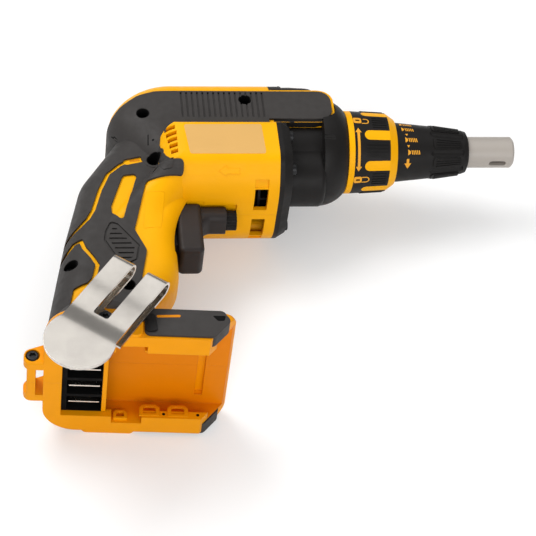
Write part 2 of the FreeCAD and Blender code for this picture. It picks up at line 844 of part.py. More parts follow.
def spindle_supports():
    node("spindle_bearing", bearing("spindle_bearing", dim.bearing_radius,
                                    dim.spindle_rear_radius + dim.shaft_gap, dim.bearing_width,
                                    (housing_front, ZERO, ZERO)))
    bush_rear = case_front - dim.sleeve_setback - dim.bush_length
    node("spindle_bush", ring("spindle_bush", dim.bush_radius, dim.spindle_front_radius + dim.shaft_gap,
                              dim.bush_length, (bush_rear, ZERO, ZERO)))
    radius = dim.bearing_radius + dim.plate_margin
    thick = dim.plate_thickness
    pads = [rod(f"plate_end_{index}", radius, thick, (housing_front, y, ZERO))
            for index, y in enumerate((ZERO, motor_y))]
    pads.append(brick("plate_middle", (thick, motor_drop, radius * 2), (housing_front, motor_y, -radius)))
    seats = [rod(f"plate_seat_{index}", dim.bearing_radius + dim.shaft_gap, thick + dim.overrun * 2,
                 (housing_front - dim.overrun, y, ZERO)) for index, y in enumerate((ZERO, motor_y))]
    node("gear_plate", cut("gear_plate", join("plate_blank", pads), seats))


nosepiece()
nose_sleeve()
depth_collar()
lock_ring()
spindle()
bit_holder()
spring()
drive_gear()
motor()
spindle_supports()


# Housing: outer forms, which grow outwards for the grip and inwards for the hollow
def grown(wire, grow):
    return wire if grow == 0 else wire.makeOffset2D(grow, 2)


def rim_round(shape, half_width, radius, wanted):
    edges = rim_edges(shape, half_width, wanted) + rim_edges(shape, -half_width, wanted)
    return shape.makeFillet(radius, edges)


@lru_cache(maxsize=None)
def spine(grow, half_width=dim.spine_half_width, edge=dim.spine_round):
    """Upper body of the head, from the tail to the front of the gear case."""
    front, rear = float(case_front), float(head_rear)
    bottom = -float(dim.pod_side_drop)
    knee = rear + float(dim.head_length) * SPINE_KNEE_SHARE
    wire = grown(rounded_outline([
        (front, dim.spine_top, 0), (rear + float(dim.spine_tail_lean), dim.spine_top, dim.spine_rear_round),
        (rear, dim.spine_tail_rise, dim.spine_tail_round), (knee, bottom, 0), (front, bottom, 0)]), grow)
    half = float(half_width) + grow
    body = prism(wire, -half, half)
    margin = float(dim.overrun)
    return rim_round(body, half, float(edge) + grow,
                     lambda at: at.x < front - margin and at.y > bottom + margin)


@lru_cache(maxsize=None)
def pod(grow):
    """Motor pod: flat sides, rounded tail and an arched belly."""
    front = float(case_front)
    rear = float(housing_front - dim.pod_length)
    top, bottom = float(dim.pod_top), float(dim.pod_bottom)
    half = float(dim.pod_half_width)
    side = grown(rounded_outline([
        (front, top, 0), (rear, top, dim.pod_rear_round), (rear, bottom, dim.pod_rear_round),
        (front, bottom, 0)]), grow)
    plan = grown(rounded_outline([
        (front, half, 0), (rear, half, dim.pod_plan_round), (rear, -half, dim.pod_plan_round),
        (front, -half, 0)]), grow)
    plan.rotate(vec(0, 0), X_AXIS, 90)
    plan.translate(vec(0, -BIG))
    body = prism(side, -BIG, BIG).common(Part.Face(plan).extrude(vec(0, BIG + BIG)))
    return body.common(Part.Face(pod_section(grow, -BIG)).extrude(vec(BIG + BIG, 0)))


def pod_section(grow, x):
    """Outline of the pod across the tool: flat sides and an arched belly."""
    half, top, bottom = float(dim.pod_half_width), float(dim.pod_top), float(dim.pod_bottom)
    edge, turn, arch = float(dim.pod_edge_round), float(dim.pod_side_round), float(dim.pod_belly_round)
    low, narrow = -float(dim.pod_side_drop), float(dim.pod_belly_half_width)
    section = grown(rounded_outline([
        (half, top, edge), (half, low, turn), (narrow, bottom, arch),
        (-narrow, bottom, arch), (-half, low, turn), (-half, top, edge)]), grow)
    section.rotate(vec(0, 0), Y_AXIS, -90)
    section.translate(vec(x, 0))
    return section


@lru_cache(maxsize=None)
def handle(grow):
    corners = [(-float(dim.foot_rear) * x, -float(dim.foot_drop) * y, float(dim.handle_half_width) * r)
               for x, y, r in HANDLE_SHARES]
    wire = grown(rounded_outline(corners), grow)
    half = float(dim.handle_half_width) + grow
    low = -float(dim.foot_drop) * HANDLE_SHARES[3][1] + float(dim.overrun)
    high = -float(dim.foot_drop) * HANDLE_TOP_SHARE
    back = -float(dim.foot_rear) * HANDLE_BACK_SHARE
    return rim_round(prism(wire, -half, half), half, float(dim.handle_round) + grow,
                     lambda at: low < at.y < high or at.x < back and at.y > high)


SPINE_KNEE_SHARE = 0.3
HANDLE_TOP_SHARE = 0.165
HANDLE_BACK_SHARE = 0.83
HANDLE_SHARES = [
    (0.819, -0.027, 0), (0.9127, 0.2235, 1.3), (0.9477, 0.471, 4.9), (0.996, 0.9, 0),
    (0.789, 0.9, 0), (0.783, 0.771, 1.6), (0.731, 0.634, 1.3), (0.731, 0.405, 3.2), (0.677, 0.222, 0)]


FOOT_PLACE = FreeCAD.Placement(
    vec(-dim.foot_rear, -dim.foot_drop), FreeCAD.Rotation(Z_AXIS, float(dim.foot_tilt)))


def to_foot(shape):
    """Moves a shape from the foot's own axes (along, up from the rim, across) to the tool's."""
    shape.Placement = FOOT_PLACE.multiply(shape.Placement)
    return shape


def plan_wire(corners, level):
    wire = rounded_outline(corners)
    wire.rotate(vec(0, 0), X_AXIS, 90)
    wire.translate(vec(0, level))
    return wire


@lru_cache(maxsize=None)
def neck(grow):
    """Shoulder that widens from the handle into the motor pod."""
    levels = [(dim.neck_low, dim.neck_rear, dim.neck_front, dim.handle_half_width),
              (dim.neck_middle, (dim.neck_rear + dim.neck_high_rear) / 2, dim.neck_middle_front,
               dim.neck_middle_half_width),
              (dim.neck_high, dim.neck_high_rear, dim.neck_high_front, dim.neck_high_half_width)]
    radius = float(dim.neck_round) + grow
    wires = []
    for drop, rear, front, half_width in levels:
        back, fore, half = -float(rear) - grow, -float(front) + grow, float(half_width) + grow
        wires.append(plan_wire([(back, -half, radius), (fore, -half, radius),
                                (fore, half, radius), (back, half, radius)], -float(drop)))
    return Part.makeLoft(wires, True)


@lru_cache(maxsize=None)
def flare(grow):
    """Waisted neck between the handle and the foot."""
    inset, length = float(dim.flare_inset), float(dim.flare_length)
    wide = float(dim.foot_half_width) - inset + grow
    radius = float(dim.flare_round) + grow
    narrow = float(dim.handle_half_width) + grow
    low = float(dim.foot_height) - inset
    high = float(dim.foot_height + dim.flare_height)
    front = float(dim.foot_rear) * (1 - FLARE_FRONT_SHARE) + grow
    back = float(dim.foot_rear) * (1 - FLARE_BACK_SHARE) - grow
    bottom = plan_wire([(inset - grow, -wide, radius), (length + grow, -wide, radius),
                        (length + grow, wide, radius), (inset - grow, wide, radius)], low)
    top = plan_wire([(back, -narrow, radius), (front, -narrow, radius),
                     (front, narrow, radius), (back, narrow, radius)], high)
    return to_foot(Part.makeLoft([bottom, top], True, True))


FLARE_FRONT_SHARE = 0.784
FLARE_BACK_SHARE = 0.975


def foot():
    """Block with the battery bay, the rails, the lanyard lug and the clip bosses."""
    half, length, height = float(dim.foot_half_width), float(dim.foot_length), float(dim.foot_height)
    rear_round, front_round = float(dim.foot_rear_round), float(dim.foot_front_round)
    outline = plan_wire([(0, -half, rear_round), (length, -half, front_round),
                         (length, half, front_round), (0, half, rear_round)], 0)
    body = Part.Face(outline).extrude(vec(0, height))
    top = [edge for edge in body.Edges
           if abs(edge.BoundBox.YMin - height) < FLAT and abs(edge.BoundBox.YMax - height) < FLAT]
    body = body.makeFillet(float(dim.foot_edge_round), top)
    nose, rise, over = float(dim.foot_nose), float(dim.foot_nose_rise), float(dim.overrun)
    slant = Part.makePolygon([vec(length - nose, 0), vec(length, rise), vec(length + over, rise),
                              vec(length + over, -over), vec(length - nose, -over), vec(length - nose, 0)])
    body = body.cut(prism(slant, -BIG, BIG))
    # Lanyard lug: a bar between two ears, with a window behind the bar.
    ear, reach, tall = float(dim.lug_half_width), float(dim.lug_reach), float(dim.lug_root_height)
    waist, window = float(dim.lug_waist_half_width), float(dim.lug_window_reach)
    curve, root = float(dim.lug_round), rear_round / 2
    lug = prism(rounded_outline([(root, 0, 0), (-reach, 0, curve), (-reach, float(dim.lug_height), curve),
                                 (0, tall, 0), (root, tall, 0)]), -ear, ear)
    lug = rim_round(lug, ear, float(dim.lug_edge_round), lambda at: at.x < 0)
    notch = -reach + float(dim.lug_waist_depth)
    lug = lug.cut(block((-reach - over, -over, -waist), (notch, tall + over, waist)))
    body = body.fuse(lug).cut(block((-window, -over, -waist), (0, tall + over, waist)))
    # Battery bay, open below and in front, with a rail along each side.
    bay, depth = float(dim.bay_half_width), float(dim.bay_depth)
    start, rail = float(dim.bay_rear), float(dim.rail_thickness)
    lip = bay - float(dim.rail_reach)
    hollow = block((start, rail, -bay), (length + over, depth, bay))
    hollow = hollow.fuse(block((start, -over, -lip), (length + over, depth, lip)))
    notch = float(dim.rail_notch_start)
    hollow = hollow.fuse(block((notch, -over, -bay), (notch + float(dim.rail_notch_length), depth, bay)))
    slot, catch = float(dim.latch_slot_start), float(dim.latch_slot_half_width)
    slot_front = slot + float(dim.latch_slot_length)
    slot_top = depth + float(dim.latch_slot_depth)
    hollow = hollow.fuse(block((slot, depth - over, -catch), (slot_front, slot_top, catch)))
    return to_foot(body.cut(hollow))


# The belt clip's own axes: along from the fold to the round end, across, and out of the side
CLIP_PLACE = FreeCAD.Placement(
    vec(-dim.clip_fold_x, -dim.clip_fold_drop, dim.foot_half_width + dim.clip_boss_height),
    FreeCAD.Rotation(Z_AXIS, float(dim.clip_angle)))
CLIP_SCREW = CLIP_PLACE.multVec(vec(dim.clip_screw_along, 0))


def clip_boss(side):
    rear, front = -float(dim.clip_boss_rear), float(dim.clip_boss_front)
    width, radius = float(dim.clip_boss_half_width), float(dim.clip_boss_round)
    wire = rounded_outline([(rear, -width, radius), (front, -width, radius),
                            (front, width, radius), (rear, width, radius)])
    half, tall = float(dim.foot_half_width), float(dim.clip_boss_height)
    pad = prism(wire, half - tall, half + tall)
    pad.Placement = FreeCAD.Placement(vec(CLIP_SCREW.x, CLIP_SCREW.y), FOOT_PLACE.Rotation)
    return pad if side > 0 else pad.mirror(vec(0, 0), Z_AXIS)


def screw_places():
    """(x, y, height of the head's seat) of each housing screw."""
    places = [(-float(dim.foot_rear) * x, float(dim.foot_drop) * y, float(dim.screw_seat))
              for x, y in SCREW_SHARES]
    back, rise = LUG_SCREW_SHARES
    lug = FOOT_PLACE.multVec(vec(-dim.lug_reach * back, dim.lug_height * rise))
    return places + [(lug.x, lug.y, float(dim.lug_half_width - dim.screw_head_height))]


SCREW_SHARES = [(0.785, 0.0255), (0.573, 0.092), (0.769, -0.159), (0.942, -0.608), (0.835, -0.706)]
LUG_SCREW_SHARES = (0.557, 0.55)


def cheek():
    """Outline of the housing's forward tongue beside the gear case."""
    front = housing_front + dim.cheek_length
    rear = housing_front - dim.wall
    return [(rear, dim.cheek_low, 0), (front, dim.cheek_low, dim.cheek_round),
            (front, dim.cheek_high, dim.cheek_round), (rear, dim.cheek_high, 0)]


def trigger_pocket():
    gap, travel = float(dim.running_gap), float(dim.trigger_travel)
    half = float(dim.trigger_half_width) + gap
    rear = -float(dim.trigger_rear) - travel - gap
    front = -float(dim.trigger_front) + float(dim.overrun)
    bottom, top = -float(dim.trigger_bottom) - gap, -float(dim.trigger_top) + gap
    return block((rear, bottom, -half), (front, top, half))


arm_rear = -dim.trigger_front
arm_front = arm_rear + dim.arm_length
knob_rear = arm_front + dim.seat_gap


def arm_channel(grow, bottom):
    """Groove under the belly for the trigger's arm and its knob, or its lining when grown."""
    gap = float(dim.running_gap) + grow
    half = float(dim.arm_half_width) + gap
    rear = -float(dim.trigger_rear) - float(dim.trigger_travel) - float(dim.running_gap)
    front = float(knob_rear + dim.selector_length) + gap
    top = -float(dim.arm_drop) + float(dim.selector_radius) + gap
    return block((rear, bottom, -half), (front, top, half))


def lock_button_hole():
    return post(dim.lock_button_radius + dim.running_gap, BIG,
                (-dim.lock_button_x, -dim.lock_button_drop, -BIG))


def air_slots():
    """Louvres, outlets and the shallow recess beside each outlet."""
    tools = []
    tall = float(dim.louvre_height) / 2
    inside = float(dim.pod_half_width - dim.louvre_depth)
    for index in range(count_of(dim.louvre_count)):
        y = -float(dim.louvre_drop) - float(dim.louvre_pitch) * index
        front = -float(dim.louvre_front) + float(dim.louvre_step) * index
        rear = front - float(dim.louvre_length)
        tools += both_sides(lambda low, high: block((rear, y - tall, low), (front, y + tall, high)), inside)
    front = -float(dim.outlet_front)
    rear = front - float(dim.outlet_length)
    top = -float(dim.pod_side_drop)
    outer = float(dim.outlet_outer)
    tools += both_sides(lambda low, high: block((rear, -BIG, low), (front, top, high)),
                        float(dim.outlet_inner), outer)
    start = outer + float(dim.outlet_rim)
    skin = pod(0).cut(pod(-float(dim.outlet_recess_depth)))
    tools += both_sides(lambda low, high: skin.common(block((rear, -BIG, low), (front, top, high))),
                        start, start + float(dim.outlet_recess_width))
    return tools


def housings():
    face = float(housing_front)
    behind = block((-BIG, -BIG, -BIG), (face, BIG, BIG))
    head = spine(0).fuse(pod(0))
    inner_edge = float(dim.spine_half_width - dim.cheek_thickness)
    tongue = spine(0).common(prism(rounded_outline(cheek()), -BIG, BIG))
    tongue = tongue.cut(block((-BIG, -BIG, -inner_edge), (BIG, BIG, inner_edge)))
    lower = [handle(0), neck(0), flare(0), foot(), clip_boss(1), clip_boss(-1)]
    outer = head.common(behind).fuse(lower).removeSplitter()
    wall = -float(dim.wall)
    hollow = spine(wall).fuse([pod(wall), neck(wall)])
    hollow = hollow.common(block((-BIG, -BIG, -BIG), (face + float(dim.overrun), BIG, BIG)))
    floor = -float(dim.module_drop + dim.running_gap)
    hollow = hollow.fuse(handle(wall).common(block((-BIG, floor, -BIG), (BIG, BIG, BIG))))
    # Bulkheads that hold the motor, the switch and the control module
    rib, gap = float(dim.motor_rib), float(dim.seat_gap)
    keep = []
    for x, radius in ((stator_front - dim.motor_rib, dim.stator_radius), (stator_rear, dim.stator_radius),
                      (shaft_rear, dim.rear_bearing_radius)):
        wide = rib if radius is dim.stator_radius else float(dim.rear_bearing_width)
        plate = head.common(block((x, -BIG, -BIG), (float(x) + wide, BIG, BIG)))
        keep.append(plate.cut(along(float(radius) + gap, motor_y, 0)))
    shelf = float(dim.handle_rib)
    run = float(dim.running_gap)
    behind_switch = -float(dim.switch_front) + run
    for level in (-float(dim.switch_drop) + run,
                  -float(dim.switch_drop + dim.switch_height) - run - shelf,
                  -float(dim.module_drop - dim.module_height) + run):
        keep.append(handle(0).common(block((-BIG, level, -BIG), (behind_switch, level + shelf, BIG))))
    keep.extend(through(dim.boss_radius, x, y).common(outer) for x, y, seat in screw_places())
    boss_rear = face - float(dim.case_screw_reach)
    for y, z in case_screw_places():
        keep.append(post(dim.boss_radius, dim.case_screw_reach, (boss_rear, y, z), X_AXIS))
    keep.append(arm_channel(float(dim.channel_lining), float(dim.pod_bottom)).common(outer))
    tools = [trigger_pocket(), arm_channel(0, -float(dim.trigger_bottom)), lock_button_hole()]
    for x, y, seat in screw_places():
        tools.append(post(dim.screw_hole_radius, BIG, (x, y, seat)))
        tools.append(post(dim.screw_radius + dim.shaft_gap, dim.screw_length + dim.seat_gap,
                          (x, y, seat - float(dim.screw_length + dim.seat_gap))))
    screw_rear = face - float(dim.screw_length)
    for y, z in case_screw_places():
        tools.append(post(dim.screw_radius + dim.shaft_gap, dim.screw_length, (screw_rear, y, z), X_AXIS))
    bore = dim.clip_screw_radius + dim.shaft_gap
    depth = float(dim.clip_screw_length) + gap
    side = float(dim.foot_half_width + dim.clip_boss_height + dim.clip_thickness)
    tools.append(post(bore, depth + gap, (CLIP_SCREW.x, CLIP_SCREW.y, side - depth)))
    tools.append(post(bore, depth, (CLIP_SCREW.x, CLIP_SCREW.y, -side)))
    shell = outer.cut([hollow] + air_slots()).fuse(keep + [tongue]).cut(tools)
    return outer, shell


def case_screw_places():
    wide, deep = float(dim.pod_half_width), float(dim.pod_bottom)
    return [(deep * y, wide * z * side) for y, z in CASE_SCREW_SHARES for side in (1, -1)]


CASE_SCREW_SHARES = [(0.73, 0.67), (0.3, 0.8)]

outer_form, shell_form = housings()
HALVES = {"right": block((-BIG, -BIG, 0), (BIG, BIG, BIG)),
          "left": block((-BIG, -BIG, -BIG), (BIG, BIG, 0))}
for side, half_space in HALVES.items():
    node(f"{side}_housing", solid(f"{side}_housing", shell_form.common(half_space)))


def gear_case():
    """Flange, domed nose and bearing barrel, hollow for the gears."""
    face, front = float(housing_front), float(case_front)
    flange_front = face + float(dim.flange_thickness)
    bevel_rear = flange_front - float(dim.flange_bevel_length)
    flange = spine(0).common(block((face, -BIG, -BIG), (flange_front, BIG, BIG)))
    flange = flange.fuse(pod(0).common(block((face, -BIG, -BIG), (bevel_rear, BIG, BIG))))
    rims = [pod_section(0, bevel_rear), pod_section(-float(dim.flange_bevel), flange_front)]
    flange = flange.fuse(Part.makeLoft(rims, True, True))
    dome_rear = front - float(dim.dome_length)
    rim, full = float(dim.dome_collar_radius), float(dim.dome_radius)
    along_share, out_share = DOME_BULGE_SHARES
    bulge = vec(front - (front - dome_rear) * along_share, rim + (full - rim) * out_share)
    core = float(dim.core_radius)
    corners = [vec(dome_rear, full), vec(dome_rear, core), vec(flange_front, core), vec(flange_front, 0),
               vec(front, 0), vec(front, rim)]
    arc = Part.Wire([Part.Arc(vec(front, rim), bulge, vec(dome_rear, full)).toShape()])
    profile = Part.Wire(Part.makePolygon(corners).Edges + arc.Edges)
    dome = Part.Face(profile).revolve(vec(0, 0), X_AXIS, 360)
    upper = spine(0, dim.upper_half_width, dim.upper_round)
    upper_front = dome_rear + float(dim.upper_round) * UPPER_FRONT_SHARE
    upper = upper.common(block((face, 0, -BIG), (upper_front, BIG, BIG)))
    nose = [edge for edge in upper.Edges
            if abs(edge.BoundBox.XMin - upper_front) < FLAT and edge.BoundBox.YMin > FLAT
            and abs(edge.BoundBox.XMax - upper_front) < FLAT]
    upper = upper.makeFillet(float(dim.upper_round) * UPPER_NOSE_SHARE, nose)
    barrel = post(dim.barrel_radius, dim.barrel_length, (flange_front, motor_y, 0), X_AXIS)
    tip = [edge for edge in barrel.Edges
           if abs(edge.BoundBox.XMin - flange_front - float(dim.barrel_length)) < FLAT]
    barrel = barrel.makeFillet(float(dim.barrel_round), tip)
    spigot = post(dim.spigot_radius, dim.spigot_length, (front, 0, 0), X_AXIS)
    body = flange.fuse([dome, upper, barrel, spigot])
    gap, over = float(dim.seat_gap), float(dim.overrun)
    seat = float(dim.bearing_radius + dim.plate_margin) + gap
    thick = float(dim.plate_thickness)
    deep = -float(motor_drop)
    tools = [post(seat, thick + over, (face - over, y, 0), X_AXIS) for y in (0, deep)]
    tools.append(block((face - over, deep, -seat), (face + thick, 0, seat)))
    chamber = float(chamber_front - plate_front)
    tools.append(post(dim.chamber_radius, chamber, (plate_front, 0, 0), X_AXIS))
    tools.append(post(dim.pinion_chamber_radius, dim.gear_thickness + dim.overrun,
                      (plate_front, motor_y, 0), X_AXIS))
    tools.append(post(dim.spindle_front_radius + dim.running_gap, BIG, (face, 0, 0), X_AXIS))
    tools.append(post(dim.bush_radius + dim.shaft_gap, dim.bush_length + dim.overrun,
                      (front - float(dim.sleeve_setback + dim.bush_length), 0, 0), X_AXIS))
    tools.append(post(sleeve_radius + dim.running_gap, BIG, (front, 0, 0), X_AXIS))
    # Room for the housing's tongues, and holes for the case screws
    clear = float(dim.running_gap)
    tongue = prism(rounded_outline(cheek()).makeOffset2D(clear, 2), -BIG, BIG)
    inside = float(dim.spine_half_width - dim.cheek_thickness) - clear
    tools.append(tongue.cut(block((-BIG, -BIG, -inside), (BIG, BIG, inside))))
    tools.extend(along(dim.screw_radius + dim.seat_gap, y, z) for y, z in case_screw_places())
    node("gear_case", solid("gear_case", body.cut(tools).removeSplitter()))


DOME_BULGE_SHARES = (0.42, 0.72)
UPPER_FRONT_SHARE = 0.35
UPPER_NOSE_SHARE = 0.8


def outline_of(shares):
    """Corners given as shares of the foot's distance behind the nose and below the spindle."""
    return [(-float(dim.foot_rear) * x, float(dim.foot_drop) * y, float(dim.handle_half_width) * r)
            for x, y, r in shares]


def ribbon(shares, width):
    """A line of even width along points of the side view, cut through the whole depth."""
    points = [vec(x, y) for x, y, r in outline_of([(x, y, 0) for x, y in shares])]
    half = float(width) / 2
    pieces = []
    for start, end in zip(points, points[1:]):
        run = end - start
        bar = block((0, -half, -BIG), (run.Length, half, BIG))
        bar.Placement = FreeCAD.Placement(start, FreeCAD.Rotation(X_AXIS, run))
        pieces += [bar, through(half, end.x, end.y)]
    return pieces[0].fuse(pieces[1:])


# The grip's front edge, its coloured lines and its thumb pad, seen from the side
GRIP_SHARES = [
    (1.06, 0.03, 0), (0.858, 0.03, 0), (0.83, 0.0778, 0.3), (0.793, 0.1195, 0.4), (0.757, 0.134, 0.4),
    (0.70, 0.1345, 0), (0.3946, 0.134, 0.38), (0.3946, 0.0, 0.38), (0.5277, 0.0, 0),
    (0.5277, -0.09, 0), (0.70, -0.09, 0), (0.70, -0.2, 0), (0.768, -0.232, 0.25),
    (0.79, -0.29, 0.25), (0.8165, -0.468, 0.22), (0.795, -0.558, 0.25), (0.808, -0.67, 0.4),
    (0.803, -0.78, 0.4), (0.83, -0.872, 0.5), (1.06, -0.905, 0)]
FINGER_SHARES = [(0.76, -0.226, 0), (0.7135, -0.226, 0.12), (0.7135, -0.262, 0.12), (0.79, -0.28, 0)]
TAB_SHARES = [(0.792, -0.152), (0.822, -0.165)]
UPPER_LINE_SHARES = [
    (0.822, -0.165), (0.836, -0.177), (0.861, -0.217), (0.879, -0.29), (0.8945, -0.38), (0.9055, -0.415),
    (0.9215, -0.441), (0.97, -0.505)]
LOWER_LINE_SHARES = [
    (0.985, -0.59), (0.9515, -0.545), (0.935, -0.515), (0.921, -0.511), (0.9155, -0.546), (0.90, -0.591),
    (0.892, -0.619), (0.90, -0.678), (0.909, -0.699)]
PATCH_SHARES = [
    (0.897, -0.682, 0.1), (0.94, -0.717, 0.1), (0.953, -0.83, 0.1), (0.90, -0.83, 0.1),
    (0.868, -0.72, 0.1)]
WINDOW_SHARES = [
    (0.832, -0.225, 0.15), (0.8025, -0.218, 0.1), (0.838, -0.432, 0.08), (0.8585, -0.396, 0.1),
    (0.859, -0.365, 0.1)]
PAD_SHARES = [
    (0.863, -0.434, 0.1), (0.848, -0.443, 0.1), (0.808, -0.539, 0.1), (0.814, -0.6, 0.1),
    (0.845, -0.63, 0.1), (0.877, -0.516, 0.1), (0.874, -0.479, 0.1)]


def grips():
    skin = float(dim.skin)
    form = spine(skin).fuse([handle(skin), neck(skin), flare(skin)])
    region = prism(rounded_outline(outline_of(GRIP_SHARES)), -BIG, BIG)
    finger = prism(rounded_outline(outline_of(FINGER_SHARES)), -BIG, BIG)
    finger = pod(skin).fuse(neck(skin)).common(finger)
    body = form.common(region).fuse(finger).cut(outer_form)
    inner_edge = float(dim.spine_half_width)
    case_gap = block((float(housing_front), -BIG, -inner_edge), (BIG, BIG, inner_edge))
    tools = [case_gap, trigger_pocket(), lock_button_hole()]
    tools += [ribbon(TAB_SHARES, dim.stripe_tab_width), ribbon(UPPER_LINE_SHARES, dim.stripe_width),
              ribbon(LOWER_LINE_SHARES, dim.stripe_width)]
    for shares in (PATCH_SHARES, WINDOW_SHARES):
        tools.append(prism(rounded_outline(outline_of(shares)), -BIG, BIG))
    tools += [through(dim.screw_hole_radius, x, y) for x, y, seat in screw_places()]
    deep = skin - float(dim.groove_depth)
    tools += band_grooves(float(dim.spine_half_width) + deep)
    tools += pad_grooves(float(dim.handle_half_width) + deep)
    body = body.cut(tools)
    for side, half_space in HALVES.items():
        node(f"{side}_grip", solid(f"{side}_grip", body.common(half_space)))


def band_grooves(level):
    half = float(dim.band_groove_width) / 2
    tools = []
    for index in range(count_of(dim.band_groove_count)):
        x = -float(dim.band_groove_front) - float(dim.band_groove_pitch) * index
        tools += both_sides(lambda low, high: block((x - half, dim.band_groove_low, low),
                                                    (x + half, dim.band_groove_high, high)), level)
    return tools


def pad_grooves(level):
    outline = rounded_outline(outline_of(PAD_SHARES))
    border = outline.makeOffset2D(-float(dim.pad_groove_width), 2)
    inner = border.makeOffset2D(-float(dim.pad_rim), 2)
    tools = both_sides(lambda low, high: prism(outline, low, high).cut(prism(border, low, high)), level)
    half = float(dim.pad_groove_width) / 2
    top = inner.BoundBox.YMax - float(dim.pad_rim)
    for index in range(count_of(dim.pad_groove_count)):
        y = top - float(dim.pad_groove_pitch) * index
        tools += both_sides(lambda low, high: block((-BIG, y - half, low), (BIG, y + half, high)).common(
            prism(inner, low, high)), level)
    return tools


def foot_panels():
    rear, nose = float(dim.panel_rear), float(dim.foot_length - dim.panel_setback)
    low, high = float(dim.panel_low), float(dim.panel_high)
    half = float(dim.foot_half_width)
    radius = float(dim.clip_boss_round)
    tall = high - low
    back_share, nose_share, top_share = PANEL_NOSE_SHARES
    wire = rounded_outline([(rear, low, radius), (nose - tall * back_share, low, radius),
                            (nose, low + tall * nose_share, radius),
                            (nose - tall * top_share, high, radius), (rear, high, radius)])
    inside = half - float(dim.foot_edge_round + dim.wall)
    plate = to_foot(prism(wire, inside, half + float(dim.skin))).cut(outer_form)
    node("right_foot_panel", solid("right_foot_panel", plate))
    node("left_foot_panel", solid("left_foot_panel", plate.mirror(vec(0, 0), Z_AXIS)))


PANEL_NOSE_SHARES = (0.5, 0.62, 0.24)
TERMINAL_COUNT = 4


def terminals():
    start, depth = float(dim.bay_rear) + float(dim.seat_gap), float(dim.bay_depth)
    low = depth - float(dim.terminal_height)
    half = float(dim.terminal_half_width)
    block_form = block((start, low, -half), (start + float(dim.terminal_length), depth, half))
    lip = float(dim.bay_half_width - dim.rail_reach - dim.running_gap)
    step = float(dim.rail_thickness + dim.running_gap)
    between_rails = block((start, -float(dim.overrun), -lip), (BIG, step, lip))
    block_form = block_form.common(between_rails.fuse(block((start, step, -half), (BIG, depth, half))))
    slot_half = float(dim.terminal_slot_width) / 2
    inset = (float(dim.terminal_length) - float(dim.terminal_slot_length)) / 2
    blades, cuts = [], []
    for index in range(TERMINAL_COUNT):
        middle = float(dim.terminal_slot_pitch) * (index - (TERMINAL_COUNT - 1) / 2)
        floor = low + float(dim.terminal_slot_depth)
        cuts.append(block((start + inset, low - float(dim.overrun), middle - slot_half),
                          (start + inset + float(dim.terminal_slot_length), floor, middle + slot_half)))
        thin = float(dim.blade_thickness) / 2
        blade_start = start + (float(dim.terminal_length) - float(dim.blade_length)) / 2
        blades.append(to_foot(block((blade_start, floor - float(dim.blade_height), middle - thin),
                                    (blade_start + float(dim.blade_length), floor, middle + thin))))
    node("terminal_block", solid("terminal_block", to_foot(block_form.cut(cuts))))
    node("terminal_blades", solid("terminal_blades", Part.makeCompound(blades)))


def trigger():
    front, rear = -float(dim.trigger_front), -float(dim.trigger_rear)
    top, bottom = -float(dim.trigger_top), -float(dim.trigger_bottom)
    radius, half = float(dim.trigger_round), float(dim.trigger_half_width)
    wire = rounded_outline([(front, bottom, radius), (front, top, radius / 2),
                            (rear, top, radius / 2), (rear, bottom, radius)])
    paddle = prism(wire, -half, half)
    paddle = rim_round(paddle, half, radius * TRIGGER_EDGE_SHARE, lambda at: True)
    wide, tall, bend = float(dim.arm_half_width), float(dim.arm_half_height), float(dim.arm_round)
    section = plan_wire([(-tall, -wide, bend), (tall, -wide, bend),
                         (tall, wide, bend), (-tall, wide, bend)], 0)
    section.rotate(vec(0, 0), Z_AXIS, 90)
    arm = Part.Face(section).extrude(vec(dim.arm_length + dim.trigger_round, 0))
    arm.translate(vec(arm_rear - dim.trigger_round, -dim.arm_drop))
    stem_half = float(dim.trigger_stem_half_width)
    stem_top = -float(dim.trigger_stem_drop)
    reach = float(dim.switch_front) - float(dim.trigger_travel) - float(dim.running_gap)
    stem_bottom = stem_top - float(dim.trigger_stem_height)
    stem = block((-reach, stem_bottom, -stem_half), (rear + radius, stem_top, stem_half))
    hole = post(dim.selector_pin_radius + dim.shaft_gap, dim.selector_pin_length + dim.seat_gap,
                (arm_front - dim.selector_pin_length - dim.seat_gap, -dim.arm_drop, 0), X_AXIS)
    node("trigger", solid("trigger", paddle.fuse([arm, stem]).cut(hole).removeSplitter()))


TRIGGER_EDGE_SHARE = 0.8


def direction_selector():
    knob = rod("selector_knob", dim.selector_radius, dim.selector_length, (knob_rear, -dim.arm_drop, ZERO))
    pin = rod("selector_pin", dim.selector_pin_radius, dim.selector_pin_length,
              (knob_rear - dim.selector_pin_length, -dim.arm_drop, ZERO))
    knurl = along(dim.knurl_radius, dim.selector_radius, 0)
    knurls = Part.makeCompound(around(knurl, count_of(dim.knurl_count)))
    knurls.translate(vec(0, -dim.arm_drop))
    groove = solid("selector_knurl", knurls)
    node("direction_selector", cut("direction_selector", join("selector_blank", [knob, pin]), [groove]))


